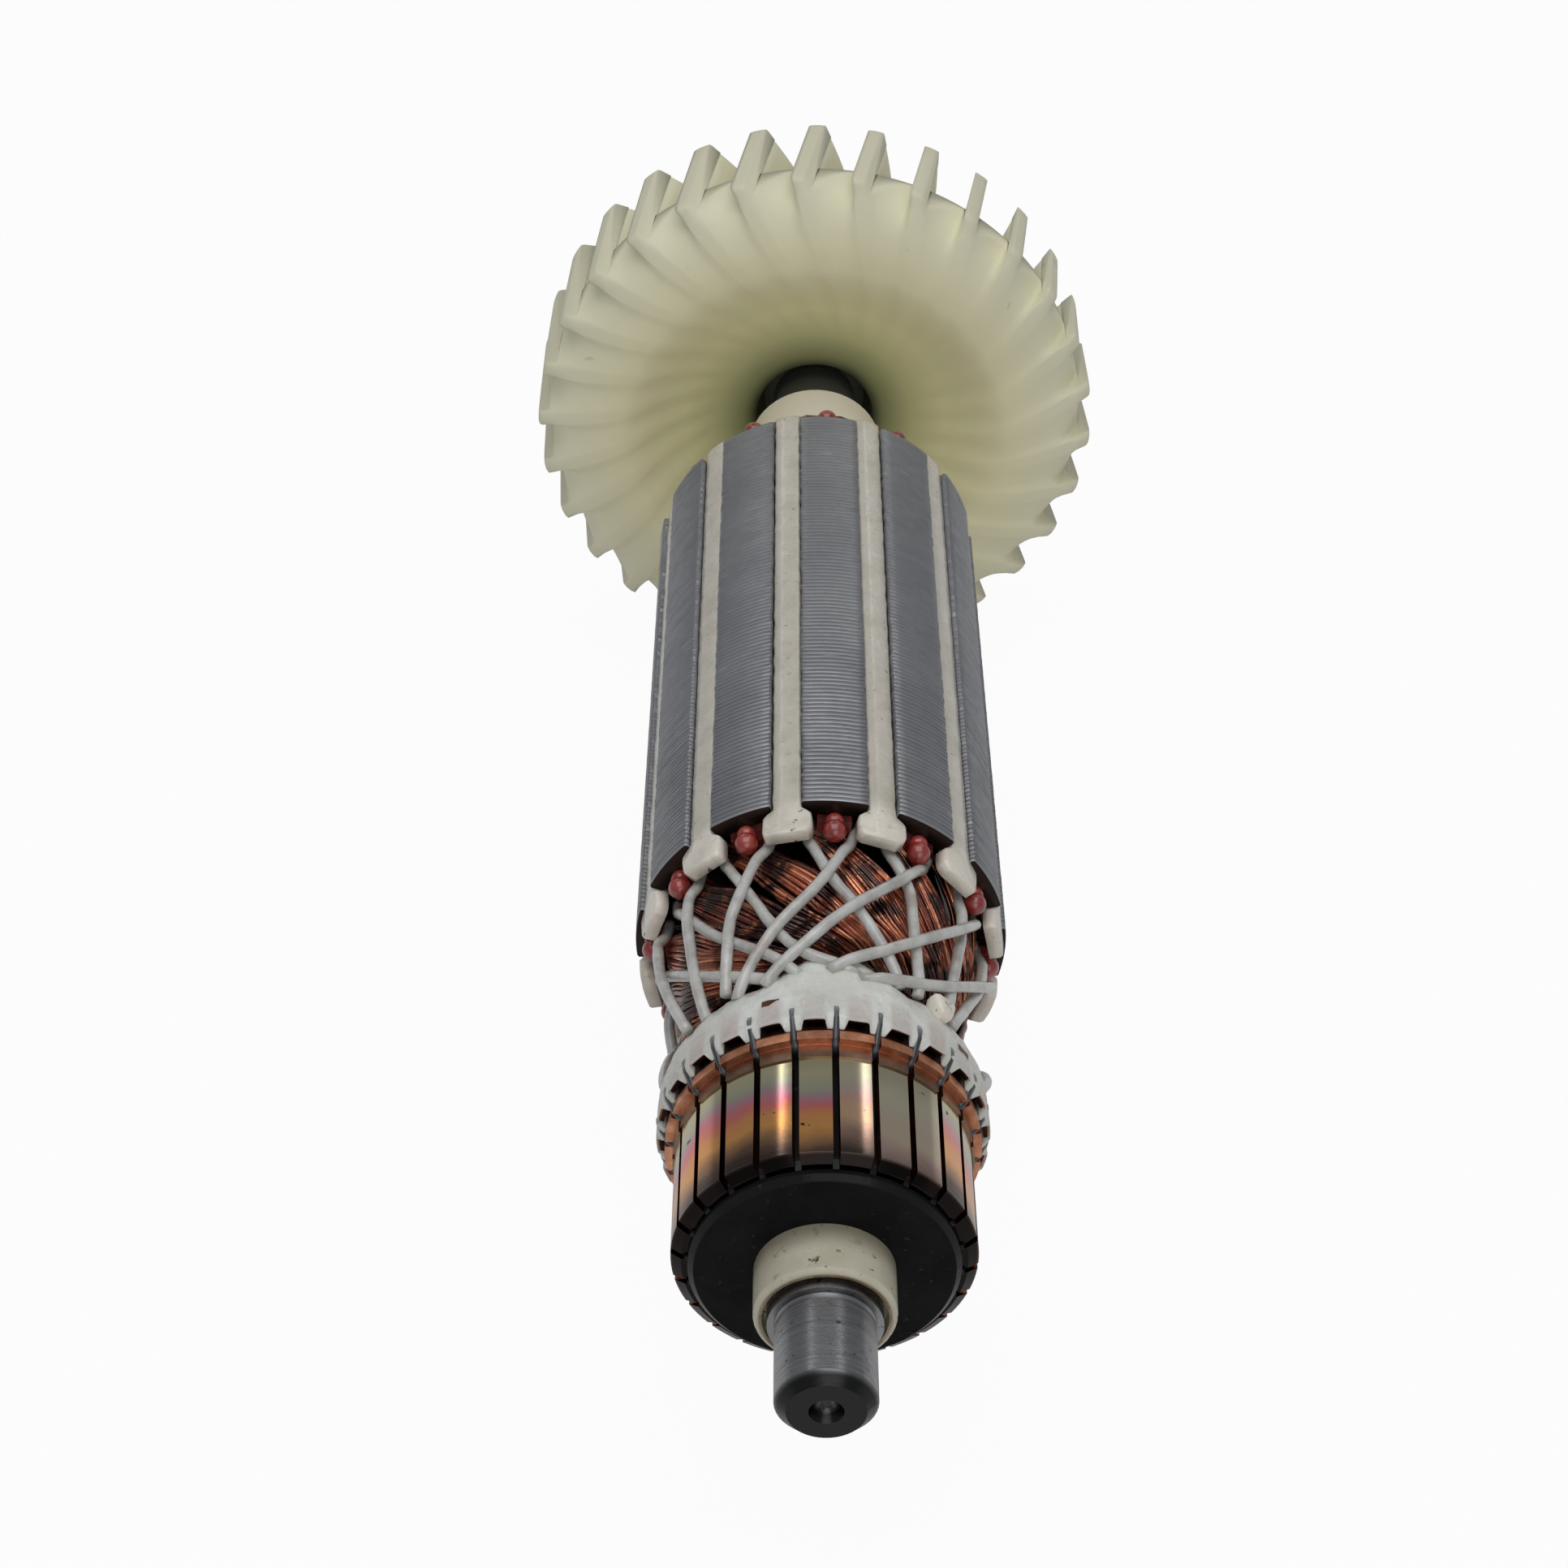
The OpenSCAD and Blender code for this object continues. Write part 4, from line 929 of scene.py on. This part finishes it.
def resin_piece():
    cols = 600
    rows = 34
    front_y = RISER_Y0 + 0.85
    verts = []
    for k in range(rows):
        v = k / (rows - 1)
        for c in range(cols):
            deg = 360 * c / cols
            off = abs((deg - BAR_PHASE + BAR_PITCH / 2) % BAR_PITCH - BAR_PITCH / 2)
            hook = 1 - step(3.5, 4.9, off + 0.4 * wander(deg * 0.9, 2.0))
            top = 1 - step(6, 30, abs((deg - 5 + 180) % 360 - 180))
            front = front_y + 0.42 * hook + 0.10 * wander(deg * 0.13, 3.0)
            back = RESIN_Y1 - 1.9 + 0.45 * wander(deg * 0.06, 9.0) + 2.0 * top
            y = lerp(front, back, v ** 1.25)
            d = (y - front) * 8.0 / (back - front)
            leg = RESIN_LINE(d) - 0.22 * step(0.8, 0.0, d)
            over = max(RESIN_LINE(d), 0.66) if d < 2.6 else RESIN_LINE(d)
            r = RISER_R + lerp(leg, over, hook * step(3.2, 1.6, d))
            lumps = 0.10 * wander(deg * 0.06, y * 0.35) + 0.04 * wander(deg * 0.3, y * 1.4, 4)
            r += lumps * step(0.2, 1.5, d)
            r += 0.35 * top * step(4.0, 7.0, d)
            verts.append(cyl(r if k else r - 0.06 - 0.16 * (1 - hook), deg, y))
    for r, y in ((RESIN_INNER_R, RESIN_Y1 - 2.6), (RESIN_INNER_R, RISER_BACK + 0.05),
                 (RISER_R + 0.03, RISER_BACK + 0.05)):
        verts.extend(cyl(r, 360 * c / cols, y) for c in range(cols))
    faces = grid_faces(rows + 3, cols, wrap_rows=True, flip=True)
    ob = mesh_piece("resin_band", verts, faces, RESIN)
    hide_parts("riser_resin_band")


def resin_chip():
    """A cream chip of wedge board caught in the edge of the resin: a lumpy block with soft corners."""
    def blunt(v, power):
        return math.copysign(abs(v) ** power, v)

    verts = []
    around, rows = 28, 11
    for k in range(rows):
        lat = math.pi * (k / (rows - 1) - 0.5)
        flat = abs(math.cos(lat)) ** 0.3
        for c in range(around):
            lon = TAU * c / around
            x, z = flat * blunt(math.cos(lon), 0.4), flat * blunt(math.sin(lon), 0.4)
            lump = 1 + 0.05 * wander(c * 0.7, k * 0.9)
            across = (0.85 + 0.3 * z) * x * lump
            up = 0.75 * blunt(math.sin(lat), 0.7) * lump
            verts.append(cyl(CHIP_R + up, CHIP_DEG + math.degrees(across / CHIP_R), CHIP_Y + z * lump))
    faces = grid_faces(rows, around)
    add_caps(faces, rows, around)
    mesh_piece("resin_chip", verts, faces, WEDGE)


def riser_ribs():
    """Moulding that fills the slots between the risers and runs in under the resin."""
    verts, faces = [], []
    half = 1.35
    foot_r = 9.9
    # (station behind the front of the risers, radius of the rib's top)
    stations = [(-0.25, 10.7), (-0.05, 11.1), (0.3, 11.4), (0.9, 11.66), (1.5, 12.0), (2.3, 12.16),
                (3.0, 11.95)]
    for k in range(BARS):
        deg = BAR_PHASE + BAR_PITCH * (k + 0.5)
        base = len(verts)
        for behind, top in stations:
            y = RISER_Y0 + behind
            for a, r in ((-half, foot_r), (-half, top - 0.22), (-half * 0.55, top), (half * 0.55, top),
                         (half, top - 0.22), (half, foot_r)):
                verts.append(cyl(r, deg + a + 0.15 * wander(y, deg), y))
        faces += grid_faces(len(stations), 6, base=base, flip=True)
        add_caps(faces, len(stations), 6, base)
    ob = mesh_piece("riser_ribs", verts, faces, RIB)
    smooth_by_angle(ob, 50)


# ---------------------------------------------------------------- wedges
WEDGE_TOP = CORE_R - 0.35
WEDGE_UNDER = 12.75
WEDGE_CROWN = 0.05
# Half the width of a wedge against the distance out of the core, where it ends in a T
WEDGE_WIDTH = curve([(-70, 1.1), (0.0, 1.1), (0.15, 1.16), (0.85, 1.84), (1.0, 1.9), (2.9, 1.86)])


def wedge_piece(number):
    a = math.radians(SLOT_PHASE + (number - 1) * SLOT_PITCH)
    lo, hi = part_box(f"slot_wedge_{number:02d}")
    front, rear = lo[1] / MM, hi[1] / MM
    flange_y = CORE_Y0 - 0.25
    stations = [front + d for d in (0.0, 0.06, 0.2, 0.45, 0.8, 1.2, 1.6, 2.0, 2.3, 2.6, 2.9, 3.1)]
    count = 110
    stations += [lerp(front + 3.4, rear - 0.1, k / count) for k in range(count + 1)] + [rear]
    verts = []
    for k, y in enumerate(stations):
        d = CORE_Y0 - y
        ends = (0.14 if k == 0 else 0.05 if k == 1 else 0.0) + (0.08 if y == rear else 0)
        left, right = (WEDGE_WIDTH(d) + 0.075 * wander(y * 0.8, number * 5 + s * 31) - ends
                       - (0.12 + 0.18 * ((number + s) % 3)) * step(2.25, 2.9, d) for s in (0, 1))
        lift = 0.05 * wander(y * 0.45, number * 9, 3) - 0.1 * step(0.3, 2.9, d) - ends * 0.6
        top = WEDGE_TOP + lift
        under = top - 1.08 + ends if y < flange_y else WEDGE_UNDER
        section = [(-left, under), (-left, top - 0.2), (-left + 0.16, top - 0.03), (-0.4, top + WEDGE_CROWN),
                   (0.4, top + WEDGE_CROWN), (right - 0.16, top - 0.03), (right, top - 0.2), (right, under)]
        for x, h in section:
            verts.append((x * math.cos(a) + h * math.sin(a), y, h * math.cos(a) - x * math.sin(a)))
    faces = grid_faces(len(stations), 8, flip=True)
    add_caps(faces, len(stations), 8)
    ob = mesh_piece(f"wedge_strip_{number:02d}", verts, faces, WEDGE)
    smooth_by_angle(ob, 28)
    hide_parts(f"slot_wedge_{number:02d}")


# ---------------------------------------------------------------- core
SLOT_HALF = 1.2             # half a slot's opening at the surface
BORE_POINTS = 6             # points of the bore to each tooth


def core_outline(shift):
    """Outline of a sheet over one tooth pitch, from slot middle to slot middle: (radius, degrees)."""
    corner = math.degrees(math.asin(SLOT_HALF / CORE_R))
    lip_r = math.hypot(SLOT_HALF, 13.5)
    lip = math.degrees(math.asin(SLOT_HALF / lip_r))
    side = [(7.3, 0.01), (7.55, 5.5), (WEDGE_UNDER, 9.0), (lip_r, lip + shift * 0.5),
            (CORE_R - 0.12, corner + 0.1 + shift), (CORE_R, corner + 0.75 + shift)]
    arc = [(CORE_R, lerp(corner + 0.9, SLOT_PITCH / 2, k / 4)) for k in range(1, 5)]
    half = side + arc
    return half + [(r, SLOT_PITCH - a) for r, a in reversed(half[:-1])]


def core_piece():
    rnd = random.Random(4)
    count = round((CORE_Y1 - CORE_Y0) / SHEET)
    thick = (CORE_Y1 - CORE_Y0) / count
    width = len(core_outline(0))
    cols = SLOTS * (width - 1)
    verts = []
    for k in range(count):
        y0 = CORE_Y0 + k * thick
        shifts = [rnd.uniform(-0.25, 0.25) for _ in range(SLOTS)]
        out = rnd.uniform(-0.02, 0.0)
        groove = lerp(0.065, 0.02, step(0, 40, k * thick))
        for y, sink in ((y0 + 0.02, groove), (y0 + 0.07, 0.0), (y0 + thick - 0.06, 0.0)):
            for tooth in range(SLOTS):
                for r, a in core_outline(shifts[tooth])[:-1]:
                    drop = (sink - out) if r > WEDGE_UNDER + 0.1 else 0
                    verts.append(cyl(r - drop, SLOT_PHASE + SLOT_PITCH * tooth + a, y))
    rows = 3 * count
    faces = grid_faces(rows, cols, flip=True)
    for row, y, flip in ((0, CORE_Y0, True), (rows - 1, CORE_Y1, False)):
        base = len(verts)
        bore = SLOTS * BORE_POINTS
        verts += [cyl(SLEEVE_FRONT_R, SLOT_PHASE + 360 / bore * j, y) for j in range(bore)]
        for tooth in range(SLOTS):
            outer = [row * cols + (tooth * (width - 1) + j) % cols for j in range(width)]
            inner = [base + (tooth * BORE_POINTS + j) % bore for j in range(BORE_POINTS + 1)]
            loop = tuple(outer + inner[::-1])
            faces.append(loop[::-1] if flip else loop)
    ob = mesh_piece("core_sheets", verts, faces, IRON)
    smooth_by_angle(ob, 30)
    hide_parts("lamination_stack")


fan_piece()
for number in range(1, SLOTS + 1):
    coil_piece(number)
    wedge_piece(number)
all_leads()
resin_piece()
resin_chip()
riser_ribs()
core_piece()

# ---------------------------------------------------------------- camera
YAW, PITCH, ROLL = (math.radians(v) for v in (-0.919, 39.11, -1.276))
cam_data = bpy.data.cameras.new("camera")
cam_data.sensor_width = 36
cam_data.lens = 64.283
cam_data.clip_start = 0.01
cam_data.clip_end = 10
cam = bpy.data.objects.new("camera", cam_data)
bpy.context.scene.collection.objects.link(cam)
ahead = Vector((math.sin(YAW) * math.cos(PITCH), math.cos(YAW) * math.cos(PITCH), -math.sin(PITCH)))
level = Vector((math.cos(YAW), -math.sin(YAW), 0))
upright = level.cross(ahead)
right = math.cos(ROLL) * level + math.sin(ROLL) * upright
up = -math.sin(ROLL) * level + math.cos(ROLL) * upright
cam.matrix_world = Matrix.Translation(Vector((0, -0.1204, 0.148))) @ Matrix(
    (right, up, -ahead)).transposed().to_4x4()
bpy.context.scene.camera = cam

# ---------------------------------------------------------------- stage and light
FLOOR_Z = -FAN_R * MM
FLOOR_SIDE = 3.0


def seen_or_lit(tree, out, lit, seen, share):
    """Shows the camera the node seen, by a share; the node lit is what lights the rest."""
    path = tree.nodes.new("ShaderNodeLightPath")
    scale = tree.nodes.new("ShaderNodeMath")
    scale.operation = "MULTIPLY"
    scale.inputs[1].default_value = share
    mix = tree.nodes.new("ShaderNodeMixShader")
    tree.links.new(path.outputs["Is Camera Ray"], scale.inputs[0])
    tree.links.new(scale.outputs[0], mix.inputs[0])
    tree.links.new(lit.outputs[0], mix.inputs[1])
    tree.links.new(seen.outputs[0], mix.inputs[2])
    tree.links.new(mix.outputs[0], tree.nodes.new(out).inputs[0])


floor_me = bpy.data.meshes.new("floor")
corners = ((-1, -1), (1, -1), (1, 1), (-1, 1))
floor_me.from_pydata([(x * FLOOR_SIDE, y * FLOOR_SIDE, FLOOR_Z) for x, y in corners], [], [(0, 1, 2, 3)])
floor = bpy.data.objects.new("floor", floor_me)
bpy.context.scene.collection.objects.link(floor)
floor_mat = bpy.data.materials.new("floor")
floor_mat.use_nodes = True
floor_tree = floor_mat.node_tree
floor_tree.nodes.clear()
matt = floor_tree.nodes.new("ShaderNodeBsdfDiffuse")
matt.inputs[0].default_value = (0.8, 0.8, 0.8, 1)
glow = floor_tree.nodes.new("ShaderNodeEmission")
glow.inputs[1].default_value = 1.0
seen_or_lit(floor_tree, "ShaderNodeOutputMaterial", matt, glow, 0.95)
floor.data.materials.append(floor_mat)

world = bpy.data.worlds.new("world")
bpy.context.scene.world = world
world.use_nodes = True
world_tree = world.node_tree
world_tree.nodes.clear()
sky = world_tree.nodes.new("ShaderNodeBackground")
sky.inputs[0].default_value = (0.93, 0.96, 1.0, 1)
sky.inputs[1].default_value = 0.27
backdrop = world_tree.nodes.new("ShaderNodeBackground")
backdrop.inputs[1].default_value = 1.0
seen_or_lit(world_tree, "ShaderNodeOutputWorld", sky, backdrop, 1.0)


def area(name, direction, dist, size, power, target=(0, 0.03, 0), size_y=None):
    d = bpy.data.lights.new(name, "AREA")
    d.energy = power
    d.size = size
    if size_y:
        d.shape = "RECTANGLE"
        d.size_y = size_y
    o = bpy.data.objects.new(name, d)
    bpy.context.scene.collection.objects.link(o)
    v = Vector(direction).normalized()
    o.location = Vector(target) + v * dist
    # The long side lies in the plane of the shaft, so a lamp's reflection in the bars is a narrow stripe.
    along = (Vector((0, 1, 0)) - v * v.y).normalized()
    o.rotation_euler = Matrix((along, v.cross(along), v)).transposed().to_euler()


area("top_soft", (0.0, -0.05, 1.0), 0.9, 0.9, 3.5)
area("front_fill", (0.15, -1.0, 0.55), 1.0, 0.7, 1.5)
# Two narrow lamps behind give the bright stripes on the bars.
for name, direction in (("strip_left", (-0.38, 0.70, 0.61)), ("strip_right", (0.39, 0.70, 0.60))):
    area(name, direction, 1.0, 0.95, 0.25, target=(0, -0.01, 0.0107), size_y=0.045)

bpy.context.scene.view_settings.view_transform = "Standard"
